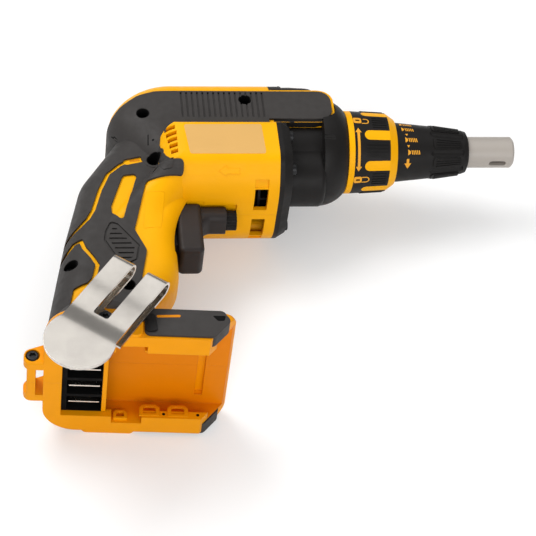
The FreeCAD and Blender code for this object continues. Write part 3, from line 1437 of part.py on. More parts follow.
def electrics():
    half = dim.switch_half_width
    switch_rear = -dim.switch_front - dim.switch_length
    switch_bottom = -dim.switch_drop - dim.switch_height
    node("trigger_switch", brick("trigger_switch", (dim.switch_length, dim.switch_height, half * 2),
                                 (switch_rear, switch_bottom, -half)))
    half = dim.module_half_width
    node("control_module", brick("control_module", (dim.module_length, dim.module_height, half * 2),
                                 (-dim.module_rear, -dim.module_drop, -half)))
    inner = dim.handle_half_width - dim.wall - dim.running_gap - dim.lock_button_flange
    at = (-dim.lock_button_x, -dim.lock_button_drop)
    button = rod("lock_button_stem", dim.lock_button_radius,
                 dim.handle_half_width + dim.lock_button_show - inner,
                 at + (-dim.handle_half_width - dim.lock_button_show,), Z_AXIS)
    rim = rod("lock_button_rim", dim.lock_button_radius + dim.lock_button_flange, dim.lock_button_flange,
              at + (-inner - dim.lock_button_flange,), Z_AXIS)
    node("lock_on_button", join("lock_on_button", [button, rim]))


SOCKET_LOBES = 6
SOCKET_LOBE_SHARE = 0.33


def screw_form(radius, length, head_radius, head_height, socket_radius, socket_depth):
    """A pan-head screw along Z with its seat at Z = 0 and a six-lobed socket."""
    body = post(radius, length, (0, 0, -float(length))).fuse(post(head_radius, head_height, (0, 0, 0)))
    top = [edge for edge in body.Edges
           if abs(edge.BoundBox.ZMin - float(head_height)) < FLAT]
    body = body.makeFillet(float(dim.screw_head_round), top)
    floor = head_height - socket_depth
    tools = [post(socket_radius, socket_depth, (0, 0, floor))]
    reach = float(socket_radius)
    for index in range(SOCKET_LOBES):
        turn = 2 * pi * index / SOCKET_LOBES
        tools.append(post(reach * SOCKET_LOBE_SHARE, socket_depth,
                          (reach * cos(turn), reach * sin(turn), floor)))
    return body.cut(tools)


def screws():
    form = screw_form(dim.screw_radius, dim.screw_length, dim.screw_head_radius, dim.screw_head_height,
                      dim.screw_socket_radius, dim.screw_socket_depth)
    driven = []
    for x, y, seat in screw_places():
        one = form.copy()
        one.translate(vec(x, y, seat))
        driven.append(one)
    node("housing_screws", solid("housing_screws", Part.makeCompound(driven)))
    fixed = []
    for y, z in case_screw_places():
        one = form.copy()
        one.rotate(vec(0, 0), Y_AXIS, 90)
        one.translate(vec(housing_front + dim.flange_thickness, y, z))
        fixed.append(one)
    node("case_screws", solid("case_screws", Part.makeCompound(fixed)))
    grow = dim.clip_screw_head_radius / dim.screw_head_radius
    clip = screw_form(dim.clip_screw_radius, dim.clip_screw_length, dim.clip_screw_head_radius,
                      dim.clip_screw_head_height, dim.screw_socket_radius * grow, dim.screw_socket_depth)
    side = float(dim.foot_half_width + dim.clip_boss_height + dim.clip_thickness)
    clip.translate(vec(CLIP_SCREW.x, CLIP_SCREW.y, side))
    node("clip_screw", solid("clip_screw", clip))


def belt_clip():
    """Spring-steel strip folded back on itself, slotted, with a round free end."""
    thick, half, gap = float(dim.clip_thickness), float(dim.clip_half_width), float(dim.clip_gap)
    bend = thick + gap / 2
    leg, length = float(dim.clip_leg_length), float(dim.clip_length)
    high = thick * 2 + gap
    outside = [Part.LineSegment(vec(leg, 0), vec(bend, 0)).toShape(),
               Part.Arc(vec(bend, 0), vec(0, high / 2), vec(bend, high)).toShape(),
               Part.LineSegment(vec(bend, high), vec(length, high)).toShape(),
               Part.LineSegment(vec(length, high), vec(length, high - thick)).toShape(),
               Part.LineSegment(vec(length, high - thick), vec(bend, high - thick)).toShape(),
               Part.Arc(vec(bend, high - thick), vec(thick, high / 2), vec(bend, thick)).toShape(),
               Part.LineSegment(vec(bend, thick), vec(leg, thick)).toShape(),
               Part.LineSegment(vec(leg, thick), vec(leg, 0)).toShape()]
    strip = Part.Face(Part.Wire(outside))
    strip.rotate(vec(0, 0), X_AXIS, 90)
    end = float(dim.clip_end_radius)
    strip.translate(vec(0, end))
    strip = strip.extrude(vec(0, -end * 2))
    middle = length - end
    form = block((-thick, -half, -BIG), (middle, half, BIG)).fuse(through(end, middle, 0))
    slot, slot_end = float(dim.clip_slot_half_width), float(dim.clip_slot_end)
    gapped = prism(rounded_outline([(-end, -slot, 0), (slot_end, -slot, thick),
                                    (slot_end, slot, thick), (-end, slot, 0)]), -BIG, BIG)
    screw_hole = post(dim.clip_screw_radius + dim.seat_gap, thick + gap, (dim.clip_screw_along, 0, -thick))
    tongue = block((slot_end * CLIP_TONGUE_SHARE, -half, -thick), (leg, half, thick + thick))
    strip = strip.common(form).cut(gapped).fuse(strip.common(tongue)).cut(screw_hole)
    strip.Placement = CLIP_PLACE
    node("belt_clip", solid("belt_clip", strip))


CLIP_TONGUE_SHARE = 0.74

gear_case()
grips()
foot_panels()
terminals()
trigger()
direction_selector()
electrics()
screws()
belt_clip()

doc.recompute()
for thing in doc.Objects:
    if "Invalid" in thing.State or "Error" in thing.State:
        raise RuntimeError(f"{thing.Label} failed: {thing.State}")
for thing in NODES:
    if thing.Shape.isNull() or not thing.Shape.isValid():
        raise RuntimeError(f"{thing.Label} has no valid shape")
os.makedirs("parts", exist_ok=True)
for thing in NODES:
    thing.Shape.exportStep(f"parts/{thing.Label}.step")
print(len(NODES), "nodes written")
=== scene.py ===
"""Looks of a cordless drywall screwdriver, built round its CAD frame.

Sizes are in millimetres in the frame's own axes: X along the spindle to the nose, Y to the tool's top
and Z to its right side. MM turns them into Blender's metres.
"""
import json
from math import atan2, cos, inf, pi, radians, sin

import bmesh
import bpy
from mathutils import Matrix, Vector
from mathutils.bvhtree import BVHTree


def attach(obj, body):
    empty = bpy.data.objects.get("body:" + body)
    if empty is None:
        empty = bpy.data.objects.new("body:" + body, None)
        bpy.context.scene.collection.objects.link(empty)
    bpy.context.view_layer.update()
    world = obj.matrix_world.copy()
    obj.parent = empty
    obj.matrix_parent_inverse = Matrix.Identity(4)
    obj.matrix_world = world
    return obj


MM = 0.001
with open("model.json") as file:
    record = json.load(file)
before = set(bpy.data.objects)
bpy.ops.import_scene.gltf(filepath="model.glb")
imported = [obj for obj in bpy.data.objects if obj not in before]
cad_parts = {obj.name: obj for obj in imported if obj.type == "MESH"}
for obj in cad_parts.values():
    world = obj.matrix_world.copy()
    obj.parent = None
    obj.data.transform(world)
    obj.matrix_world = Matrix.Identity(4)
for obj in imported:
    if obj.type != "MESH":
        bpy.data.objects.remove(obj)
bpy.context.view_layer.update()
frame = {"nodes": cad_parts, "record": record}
NODES = frame["nodes"]

# Floor under the tool
FLOOR = -40
FLOOR_REACH = 6000

# Camera: its angles in degrees, its lens, and its place along its own right, up and backward directions
CAMERA_AZIMUTH, CAMERA_ELEVATION, CAMERA_ROLL = -12.489, 49.328, 9.051
CAMERA_LENS, SENSOR_WIDTH = 135.12, 36
CAMERA_PLACE = (-133.727, -63.67, 1107.139)

# Battery foot: the rear end of its open face, and its tilt
FOOT_REAR = (-260, -153)
FOOT_TILT = radians(-3.55)

# Belt clip: the turn that lays its length along X, and where it bows along it: start, end and height
CLIP_TURN = radians(-234.1)
CLIP_BOWS = ((238, 252, 1.3), (258.5, 272.5, 2.4))

# Screw holes of the right half: their places, their radius and the seat of the screw heads
SCREW_SPOTS = [(-204.1, 3.9), (-148.98, 14.08), (-199.94, -24.33), (-244.92, -93.02), (-217.1, -108.02)]
HOLE_RADIUS, HEAD_SEAT = 3.5, 9.1

# Radii at which details are measured round the spindle's axis, and the degrees between pads or lobes
RING_RADIUS, COLLAR_RADIUS = 22.0, 15.0
PAD_STEP = 45

# How deep laid details sink into their surface, and how far marks stand proud of it
SINK = 0.15
DARK_MARK, INSET, INK, INK_ON_INK, FILM = 0.03, 0.05, 0.06, 0.11, 0.12


# Materials
def tree_of(name):
    """A new material, its node tree and its shader."""
    material = bpy.data.materials.new(name)
    material.use_nodes = True
    return material, material.node_tree, material.node_tree.nodes["Principled BSDF"]


def feed(tree, value, socket):
    """Links another node's output to the socket, or sets a plain value."""
    if isinstance(value, bpy.types.NodeSocket):
        tree.links.new(value, socket)
    else:
        socket.default_value = value


def maths(tree, operation, *values):
    """The result of a sum, product or the like of outputs and plain numbers."""
    node = tree.nodes.new("ShaderNodeMath")
    node.operation = operation
    for value, socket in zip(values, node.inputs):
        feed(tree, value, socket)
    return node.outputs["Value"]


def mixed(tree, blend, share, first, second):
    """The first colour, blended with the second by a share."""
    node = tree.nodes.new("ShaderNodeMix")
    node.data_type = "RGBA"
    node.blend_type = blend
    for value, name in ((share, "Factor"), (first, "A"), (second, "B")):
        feed(tree, value, node.inputs[name])
    return node.outputs["Result"]


def ranged(tree, source, start, end, low, high, interpolation="SMOOTHSTEP"):
    """Maps one range of values to another and holds both ends."""
    node = tree.nodes.new("ShaderNodeMapRange")
    node.interpolation_type = interpolation
    settings = {"Value": source, "From Min": start, "From Max": end, "To Min": low, "To Max": high}
    for name, value in settings.items():
        feed(tree, value, node.inputs[name])
    return node.outputs["Result"]


def own_place(tree, stretch=(1, 1, 1), turn=0.0, shift=(0, 0, 0)):
    """A place in the object's own metres, stretched along its axes, turned about Z and shifted."""
    place = tree.nodes.new("ShaderNodeTexCoord")
    mapping = tree.nodes.new("ShaderNodeMapping")
    settings = {"Vector": place.outputs["Object"], "Scale": stretch, "Rotation": (0, 0, turn),
                "Location": shift}
    for name, value in settings.items():
        feed(tree, value, mapping.inputs[name])
    return mapping.outputs["Vector"]


def split(tree, vector):
    """The outputs X, Y and Z of a vector."""
    node = tree.nodes.new("ShaderNodeSeparateXYZ")
    tree.links.new(vector, node.inputs["Vector"])
    return node.outputs


def noise(tree, scale, detail, stretch=(1, 1, 1), turn=0.0):
    """Noise in the object's own metres."""
    node = tree.nodes.new("ShaderNodeTexNoise")
    settings = {"Vector": own_place(tree, stretch, turn), "Scale": scale, "Detail": detail}
    for name, value in settings.items():
        feed(tree, value, node.inputs[name])
    return node.outputs["Fac"]


def spread(tree, source, low, high):
    """Maps the middle of a noise to a range of values."""
    return ranged(tree, source, 0.3, 0.7, low, high, "LINEAR")


def bumped(tree, height, distance, normal):
    """The normal, tilted by a height."""
    node = tree.nodes.new("ShaderNodeBump")
    settings = {"Strength": 1.0, "Distance": distance, "Height": height, "Normal": normal}
    for name, value in settings.items():
        feed(tree, value, node.inputs[name])
    return node.outputs["Normal"]


def finish_of(name, colour, rough, grain=2200, depth=0.02, edge=0.35, metal=0.0, shade=0.06, gloss=0.5,
              stretch=(1, 1, 1), turn=0.0, shade_painting=None, bow=None):
    """A moulded or machined finish: uneven gloss, fine grain and softened edges.

    A shade painting darkens the colour from place to place as painted shade, and a bow gives the height of
    a gentle swell.
    """
    material, tree, shader = tree_of(name)
    shader.inputs["Metallic"].default_value = metal
    shader.inputs["Specular IOR Level"].default_value = gloss
    cloud = spread(tree, noise(tree, 55, 4.0), 0.0, 1.0)
    dark = [value * (1 - shade) for value in colour]
    base = mixed(tree, "MIX", cloud, (*dark, 1), (*colour, 1))
    tree.links.new(shade_painting(tree, base) if shade_painting else base, shader.inputs["Base Color"])
    smear = noise(tree, 240, 3.0, stretch, turn)
    tree.links.new(spread(tree, smear, rough * 0.86, rough * 1.14), shader.inputs["Roughness"])
    soft = tree.nodes.new("ShaderNodeBevel")
    soft.samples = 4
    soft.inputs["Radius"].default_value = edge * MM
    normal = soft.outputs["Normal"]
    if bow:
        normal = bumped(tree, bow(tree), 1.0, normal)
    fine = noise(tree, grain, 2.0, stretch, turn)
    tree.links.new(bumped(tree, fine, depth * MM, normal), shader.inputs["Normal"])
    return material


def paint_foot_shade(tree, colour):
    """Painted shade: the colour darkened on the foot, and most inside its battery bay, where the plastic
    lies in shade.
    """
    height = split(tree, own_place(tree))["Y"]
    foot = ranged(tree, height, -140 * MM, -105 * MM, 1, 0)
    # Painted shade: the whole foot is darkened by this factor
    colour = mixed(tree, "MULTIPLY", foot, colour, (0.88, 0.72, 1, 1))
    rear, drop = FOOT_REAR
    shift = (-(rear * cos(FOOT_TILT) + drop * sin(FOOT_TILT)) * MM,
             -(drop * cos(FOOT_TILT) - rear * sin(FOOT_TILT)) * MM, 0)
    local = split(tree, own_place(tree, turn=-FOOT_TILT, shift=shift))
    aside = maths(tree, "ABSOLUTE", local["Z"])
    inside = 1.0
    for source, start, end, low, high in ((local["Y"], 2, 9, 0, 1), (local["Y"], 14.5, 15.5, 1, 0),
                                          (local["X"], 7, 9, 0, 1), (aside, 31.3, 33, 1, 0)):
        inside = maths(tree, "MULTIPLY", inside, ranged(tree, source, start * MM, end * MM, low, high))
    # Painted shade: a deeper orange inside the battery bay
    return mixed(tree, "MULTIPLY", inside, colour, (0.85, 0.63, 1, 1))


def clip_bow(tree):
    """The height of the clip's arms, which bow a little along its length."""
    along = split(tree, own_place(tree, turn=CLIP_TURN))["X"]
    swells = [ranged(tree, along, start * MM, end * MM, 0, height * MM) for start, end, height in CLIP_BOWS]
    return maths(tree, "ADD", *swells)


FINISHES = {
    # The yellow carries painted shade on its foot and in its battery bay
    "yellow_plastic": dict(colour=(1.0, 0.46, 0.0), rough=0.42, depth=0.008, edge=0.5, gloss=0.12,
                           shade_painting=paint_foot_shade),
    "black_plastic": dict(colour=(0.011, 0.0100, 0.0096), rough=0.48, edge=0.4, gloss=0.16),
    "grip_rubber": dict(colour=(0.040, 0.036, 0.034), rough=0.62, grain=1500, depth=0.035, edge=0.4,
                        gloss=0.3),
    "nose_plastic": dict(colour=(0.43, 0.39, 0.35), rough=0.4, depth=0.01, edge=0.3),
    "plated_steel": dict(colour=(0.66, 0.62, 0.57), rough=0.2, grain=700, depth=0.006, edge=0.3, metal=1.0,
                         shade=0.2, stretch=(0.12, 3, 3), turn=CLIP_TURN, bow=clip_bow),
    "dark_steel": dict(colour=(0.03, 0.03, 0.031), rough=0.4, metal=0.9, edge=0.2),
    "bright_steel": dict(colour=(0.6, 0.6, 0.6), rough=0.28, metal=1.0, edge=0.2),
    "copper_alloy": dict(colour=(0.86, 0.80, 0.72), rough=0.25, metal=1.0, edge=0.1),
    "laminated_steel": dict(colour=(0.3, 0.3, 0.31), rough=0.4, metal=0.9, stretch=(8, 1, 1)),
    "circuit_board": dict(colour=(0.02, 0.1, 0.05), rough=0.5),
    "sintered_bronze": dict(colour=(0.45, 0.3, 0.14), rough=0.5, metal=0.9, grain=900),
    "printed_yellow": dict(colour=(0.88, 0.39, 0.02), rough=0.5, depth=0.004, edge=0.05, gloss=0.3),
    "label_film": dict(colour=(0.72, 0.42, 0.13), rough=0.45, depth=0.003, edge=0.1, gloss=0.2, shade=0.03),
    # Near black: the own colour of black parts and print, and painted shade in holes and recesses
    "black_and_painted_shade": dict(colour=(0.003, 0.003, 0.003), rough=0.75, edge=0.1, gloss=0.1),
    "shaded_yellow": dict(colour=(0.72, 0.24, 0.0), rough=0.45, depth=0.008, edge=0.2, gloss=0.15),
    "trigger_plastic": dict(colour=(0.024, 0.019, 0.018), rough=0.5, edge=0.6, gloss=0.25),
}
LOOKS = {name: finish_of(name, **settings) for name, settings in FINISHES.items()}

# Nodes whose finish differs from that of their material slot
NODE_FINISHES = {
    "case_screws": "dark_steel",
    "lock_ring_grip": "black_plastic",
    "trigger": "trigger_plastic",
    "terminal_block": "black_and_painted_shade",
    "left_foot_panel": "grip_rubber",
    "right_foot_panel": "grip_rubber",
}
for part in frame["record"]["subparts"]:
    thing = NODES[part["node"]]
    thing.data.materials.clear()
    thing.data.materials.append(LOOKS[NODE_FINISHES.get(part["node"], part["material_slot"])])


# Outlines
def arc(centre, radius, start, end, count):
    """Points along a round stretch."""
    steps = [start + (end - start) * index / count for index in range(count + 1)]
    return [(centre[0] + radius * cos(step), centre[1] + radius * sin(step)) for step in steps]


def disc(x, y, radius, count):
    """A closed circle."""
    return arc((x, y), radius, 0, 2 * pi, count)[:-1]


def bar(start, end, width, count=6):
    """A straight bar with round ends."""
    lean = atan2(end[1] - start[1], end[0] - start[0])
    front = arc(end, width / 2, lean - pi / 2, lean + pi / 2, count)
    rear = arc(start, width / 2, lean + pi / 2, lean + pi * 3 / 2, count)
    return front + rear


def rounded(corners, radius, count=4):
    """A closed outline whose corners are rounded."""
    points = []
    for index, corner in enumerate(corners):
        here = Vector(corner)
        before = (Vector(corners[index - 1]) - here).normalized() * radius
        after = (Vector(corners[(index + 1) % len(corners)]) - here).normalized() * radius
        for step in range(count + 1):
            share = step / count
            points.append(tuple(here + before * (1 - share) ** 2 + after * share ** 2))
    return points


def halves(outer, inner):
    """The two halves of a ring between two outlines of as many points."""
    middle = len(outer) // 2
    first = outer[:middle + 1] + inner[middle::-1]
    last = outer[middle:] + [outer[0], inner[0]] + inner[:middle - 1:-1]
    return [first, last]


def flipped(outlines, way):
    """The outlines, mirrored along their first axis where the way is -1."""
    return [[(way * x, y) for x, y in outline] for outline in outlines]


# Views: each gives a ray's start and direction for a point of an outline
def seen_from(out, across, distance=400):
    """Straight on, from the way out, with the first axis running across."""
    out, across = Vector(out).normalized(), Vector(across).normalized()
    up = out.cross(across)
    return lambda spot: ((across * spot[0] + up * spot[1] + out * distance) * MM, -out)


def wrapped(radius, middle=0, distance=60):
    """Round the spindle's axis: along it, and round it at a radius from a middle angle in degrees."""
    def view(spot):
        angle = radians(middle) + spot[1] / radius
        out = Vector((0, cos(angle), sin(angle)))
        return (Vector((spot[0], 0, 0)) + out * distance) * MM, -out
    return view


def camera_axes():
    """The camera's right, up and backward directions."""
    azimuth, elevation, roll = radians(CAMERA_AZIMUTH), radians(CAMERA_ELEVATION), radians(CAMERA_ROLL)
    back = Vector((sin(azimuth) * cos(elevation), -cos(azimuth) * cos(elevation), sin(elevation)))
    level = Vector((cos(azimuth), sin(azimuth), 0))
    rise = back.cross(level)
    return level * cos(roll) + rise * sin(roll), rise * cos(roll) - level * sin(roll), back


CAMERA_RIGHT, CAMERA_UP, CAMERA_BACK = camera_axes()
RIGHT_SIDE = seen_from((0, 0, 1), (1, 0, 0))
LEFT_SIDE = seen_from((0, 0, -1), (-1, 0, 0))
ABOVE = seen_from((0, 1, 0), (1, 0, 0))
BELOW = seen_from((0, -1, 0), (1, 0, 0))
CAMERA_SIDE = seen_from(CAMERA_BACK, CAMERA_RIGHT)


# Ways to make a piece
def surface_of(nodes):
    """One search tree over the meshes of the named nodes."""
    points, faces = [], []
    for name in nodes:
        start = len(points)
        points += [vertex.co.copy() for vertex in NODES[name].data.vertices]
        faces += [[start + index for index in face.vertices] for face in NODES[name].data.polygons]
    return BVHTree.FromPolygons(points, faces)


def piece(name, points, faces, body, finish):
    """A new object that rides on a body, with sharp edges kept sharp."""
    mesh = bpy.data.meshes.new(name)
    mesh.from_pydata(points, [], faces)
    shape = bmesh.new()
    shape.from_mesh(mesh)
    bmesh.ops.recalc_face_normals(shape, faces=shape.faces)
    shape.to_mesh(mesh)
    shape.free()
    mesh.polygons.foreach_set("use_smooth", [True] * len(mesh.polygons))
    mesh.set_sharp_from_angle(angle=radians(38))
    mesh.materials.append(LOOKS[finish])
    thing = bpy.data.objects.new(name, mesh)
    bpy.context.scene.collection.objects.link(thing)
    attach(thing, body)


def gridded(outline, step=inf):
    """A flat sheet inside the outline, cut into cells so that it can follow a curved face."""
    sheet = bmesh.new()
    sheet.faces.new([sheet.verts.new((*point, 0)) for point in outline]).normal_update()
    bmesh.ops.triangulate(sheet, faces=sheet.faces[:])
    bmesh.ops.remove_doubles(sheet, verts=sheet.verts[:], dist=1e-5)
    for axis in (0, 1):
        places = [point[axis] for point in outline]
        low, high = min(places), max(places)
        count = int((high - low) / step) + 1
        normal = Vector((1 - axis, axis, 0))
        for index in range(1, count):
            everything = sheet.verts[:] + sheet.edges[:] + sheet.faces[:]
            bmesh.ops.bisect_plane(sheet, geom=everything, plane_no=normal,
                                   plane_co=normal * (low + (high - low) * index / count))
    sheet.verts.index_update()
    return sheet


def add_shell(points, faces, sheet, lower, upper):
    """Adds a closed shell: the sheet at its lower and its upper points, with walls along its edge."""
    start, count = len(points), len(sheet.verts)
    points += lower + upper
    for face in sheet.faces:
        ring = [start + vertex.index for vertex in face.verts]
        faces.append([index + count for index in ring])
        faces.append(ring[::-1])
    for edge in sheet.edges:
        if edge.is_boundary:
            first, last = [start + vertex.index for vertex in edge.verts]
            faces.append([first, last, last + count, first + count])
    sheet.free()


def pressed(name, outlines, view, nodes, rise, slot, body="tool_body", finish=None, step=1.5):
    """Thin closed shapes laid on the named nodes' surface, that stand proud of it by a rise.

    The rise is a number, or a function of the outline's own points.
    """
    surface = surface_of(nodes)
    points, faces = [], []
    for outline in outlines:
        sheet = gridded(outline, step)
        lower, upper = [], []
        for vertex in sheet.verts:
            start, way = view(vertex.co)
            hit = surface.ray_cast(start, way)[0]
            if hit is None:
                raise ValueError(f"{name} reaches past its surface")
            high = rise(vertex.co) if callable(rise) else rise
            lower.append(hit + way * SINK * MM)
            upper.append(hit - way * high * MM)
        add_shell(points, faces, sheet, lower, upper)
    piece(name, points, faces, body, finish or slot)


def slab(name, outlines, low, high, slot):
    """Flat closed plates between two heights above the tool's middle plane."""
    points, faces = [], []
    for outline in outlines:
        sheet = gridded(outline)
        lower, upper = [[Vector((vertex.co.x, vertex.co.y, height)) * MM for vertex in sheet.verts]
                        for height in (low, high)]
        add_shell(points, faces, sheet, lower, upper)
    piece(name, points, faces, "tool_body", slot)


# Housing
RIGHT_SHELL = ("right_housing", "right_grip")


def screw_hole_shade(turns=40):
    """Painted shade: a dark lining in each screw hole, from the head's seat to just below the rim, where
    the hole's walls lie in shade.
    """
    gap, inward, beside, below_rim = 0.03, 0.4, 0.5, 0.25
    above, down = Vector((0, 0, 90)), Vector((0, 0, -1))
    surface = surface_of(RIGHT_SHELL)
    points, faces = [], []
    for spot in SCREW_SPOTS:
        start = len(points)
        centre = Vector((*spot, 0))
        for index in range(turns):
            angle = 2 * pi * index / turns
            way = Vector((cos(angle), sin(angle), 0))
            rim = surface.ray_cast((centre + way * (HOLE_RADIUS + beside) + above) * MM, down)[0]
            top = rim.z / MM - below_rim
            outer, inner = [centre + way * (HOLE_RADIUS - inset) for inset in (gap, inward)]
            for corner, height in ((outer, HEAD_SEAT), (outer, top), (inner, top), (inner, HEAD_SEAT)):
                points.append((corner + Vector((0, 0, height))) * MM)
            here, there = start + index * 4, start + (index + 1) % turns * 4
            for side in range(4):
                other = (side + 1) % 4
                faces.append([here + side, here + other, there + other, there + side])
    piece("screw_hole_shade", points, faces, "tool_body", "black_and_painted_shade")


def housing_fields():
    """The bare label, the arrow of the turning direction, the cheek's panel and the tab's inset."""
    housing = ("right_housing",)
    label = rounded([(-184, -11), (-143.2, -10.8), (-142.4, -31.4), (-182, -31.4)], 1.4)
    pressed("bare_label", [label], RIGHT_SIDE, housing, FILM, "yellow_plastic", finish="label_film", step=3)
    neck, tail = -154.9, -148.2
    arrow = [(-159.1, -13.6), (neck, -10.5), (neck, -12), (tail, -12), (tail, -15.1), (neck, -15.1),
             (neck, -16.6)]
    pressed("turn_arrow", [arrow], CAMERA_SIDE, housing, 0.22, "yellow_plastic")
    cheek = rounded([(-205.8, -49.4), (-195.4, -48.2), (-198.2, -68.6), (-207.6, -70.4)], 1.2)
    pressed("cheek_panel", [cheek], RIGHT_SIDE, housing, FILM, "yellow_plastic", step=3)
    inset = bar((-211.6, -23.6), (-207.6, -23.0), 1.5)
    pressed("tab_inset", [inset], RIGHT_SIDE, housing, INSET, "yellow_plastic", finish="shaded_yellow")


def grip_details():
    """Rubber at the neck and round one screw hole, and dark dots and lines in the rubber."""
    skin = rounded([(-192.0, 3.0), (-190.9, 2.0), (-189.35, -1.75), (-186.5, -5.5), (-182.0, -8.2),
                    (-183.2, -12), (-187.6, -13), (-189.8, -10.4), (-190.3, -7.6), (-190.6, -4),
                    (-191.2, -1)], 0.5)
    pressed("neck_skin", [skin], CAMERA_SIDE, RIGHT_SHELL, 0.35, "grip_rubber")
    spot, outer, inner = SCREW_SPOTS[2], 5.0, 3.6
    rim = [arc(spot, outer, turn, turn + pi, 20) + arc(spot, inner, turn + pi, turn, 20)
           for turn in (0, pi)]
    pressed("hole_rim", rim, RIGHT_SIDE, RIGHT_SHELL, 0.2, "grip_rubber", step=1)
    first, pitch, beside_hole = -139.5, 2.9, (3, 4)
    dots = [disc(first - pitch * index, 19.2, 0.5, 12) for index in range(16) if index not in beside_hole]
    lines = [bar((-202.1, -10.6), (-202.3, -15.9), 0.5), bar((-220.9, 0.5), (-217.5, -4.5), 0.5),
             disc(-199.7, -14.1, 0.6, 12)]
    for name, marks in (("groove_dots", dots), ("tail_lines", lines)):
        pressed(name, marks, RIGHT_SIDE, RIGHT_SHELL, DARK_MARK, "black_plastic", finish="black_and_painted_shade")


def case_lips():
    """A black lip on both lower flanks of the housing, beside the gear case."""
    lip = [(-134.6, 13.8), (-112, 13.8), (-108, 14.7), (-105, 15.8), (-105, 18.8), (-134.6, 18.8)]
    for side, half in ((1, "right"), (-1, "left")):
        flank = seen_from((0, -1, side), (side, 0, 0))
        pressed(f"{half}_case_lip", flipped([lip], side), flank, (f"{half}_housing",), 0.3, "black_plastic",
                step=1)


def case_crown():
    """The smooth top of the gear case, which falls off towards the dome and the flanks."""
    rear, front, half = -128.3, -106, 20.3

    def rise(spot):
        ahead = min(max((front - spot[0]) / 16, 0), 1)
        aside = min(max((20.5 - abs(spot[1])) / 3.5, 0), 1)
        return DARK_MARK + 1.2 * ahead * aside

    sheet = [(rear, -half), (front, -half), (front, half), (rear, half)]
    pressed("case_crown", [sheet], ABOVE, ("gear_case",), rise, "black_plastic")


# Trigger
def trigger_web(lanes=24):
    """The curve that runs from the trigger's face into its arm, rounded off at both flanks."""
    half_width, half_flat, flank = 7.2, 3.5, 4
    rear, top, top_front = -177, -53, -169.5
    middle, low, radius = -169.9, -60.1, 6.2
    points, faces = [], []
    for lane in range(lanes + 1):
        side = half_width * (2 * lane / lanes - 1)
        past = max(abs(side) - half_flat, 0)
        lift = flank - (flank * flank - past * past) ** 0.5
        curve = arc((middle, low + lift), radius, pi / 2, pi, 12)
        outline = [(rear, top + lift), (top_front, top + lift)] + curve + [(rear, low + lift)]
        points += [Vector((x, y, side)) * MM for x, y in outline]
    count = len(outline)
    for end in (0, lanes):
        faces.append([end * count + index for index in range(count)])
    for lane in range(lanes):
        near, far = lane * count, (lane + 1) * count
        for index in range(count):
            other = (index + 1) % count
            faces.append([near + index, near + other, far + other, far + index])
    piece("trigger_web", points, faces, "trigger", "trigger_plastic")


# Battery foot
def panel_details():
    """The raised boss of the right foot panel, its slot in shaded yellow, and its notch as a flat
    near-black mark of painted shade.
    """
    panel = ("right_foot_panel", "right_housing")
    boss = rounded([(-212.6, -142.9), (-207.4, -142.9), (-206.6, -153.2), (-212.6, -153.2)], 2.2)
    pressed("panel_boss", [boss], RIGHT_SIDE, panel, 0.9, "black_plastic")
    slot = bar((-206, -143.9), (-196, -143.9), 1.5)
    pressed("panel_slot", [slot], RIGHT_SIDE, panel, INSET, "yellow_plastic", finish="shaded_yellow")
    notch = rounded([(-180, -144.0), (-173.6, -144.2), (-174.4, -147.2), (-177.6, -147.2)], 0.8)
    # Painted shade: the notch is a near-black mark laid on the panel
    pressed("panel_notch_shade", [notch], RIGHT_SIDE, panel, INSET, "black_plastic", finish="black_and_painted_shade")


def on_foot(along, height):
    """A point of the foot, from the rear end of its open face."""
    x = FOOT_REAR[0] + along * cos(FOOT_TILT) - height * sin(FOOT_TILT)
    return x, FOOT_REAR[1] + along * sin(FOOT_TILT) + height * cos(FOOT_TILT)


def stop_outline(rear, front, base, shoulder, top, cut, radius):
    """The outline of a stop: upright ends, and upper corners cut off above the shoulder."""
    corners = [(rear, base), (front, base), (front, shoulder), (front - cut, top), (rear + cut, top),
               (rear, shoulder)]
    return rounded([on_foot(*corner) for corner in corners], radius)


def bay_details():
    """The terminals' yellow edge, pocketed stops along both rails of the bay, and pin holes there drawn as
    flat dark discs of painted shade.
    """
    edge_rear, edge_front, reach = -231.0, -228.8, 25.6
    edge = [(edge_rear, -reach), (edge_front, -reach), (edge_front, reach), (edge_rear, reach)]
    pressed("terminal_edge", [edge], BELOW, ("terminal_block",), FILM, "yellow_plastic", step=4)
    rail_root, rail_face, frame_width = 26.6, 25.5, 2
    for side, half, view in ((-1, "left", RIGHT_SIDE), (1, "right", LEFT_SIDE)):
        housing = (f"{half}_housing",)
        stops = []
        for rear, front in ((47.8, 58.0), (61.8, 72.2)):
            outer = stop_outline(rear, front, 1.2, 6.2, 8, 2, 0.5)
            inner = stop_outline(rear + frame_width, front - frame_width, 2.6, 5.6, 6.6, 1, 0.4)
            stops += halves(outer, inner)
        slab(f"{half}_rail_stops", stops, side * rail_root, side * rail_face, "yellow_plastic")
        notch_stop = halves(stop_outline(35, 42, 1.5, 5, 6.6, 1.5, 0.4),
                            stop_outline(36.6, 40.4, 2.6, 4.6, 5.4, 0.8, 0.3))
        pressed(f"{half}_notch_stop", flipped(notch_stop, -side), view, housing, 2.2, "yellow_plastic")
        # Painted shade: each pin hole is a flat near-black disc laid on the rail
        holes = [disc(*on_foot(along, 2.6), 0.8, 16) for along in (60, 77)]
        pressed(f"{half}_rail_hole_shade", flipped(holes, -side), view, housing, DARK_MARK, "black_plastic",
                finish="black_and_painted_shade")


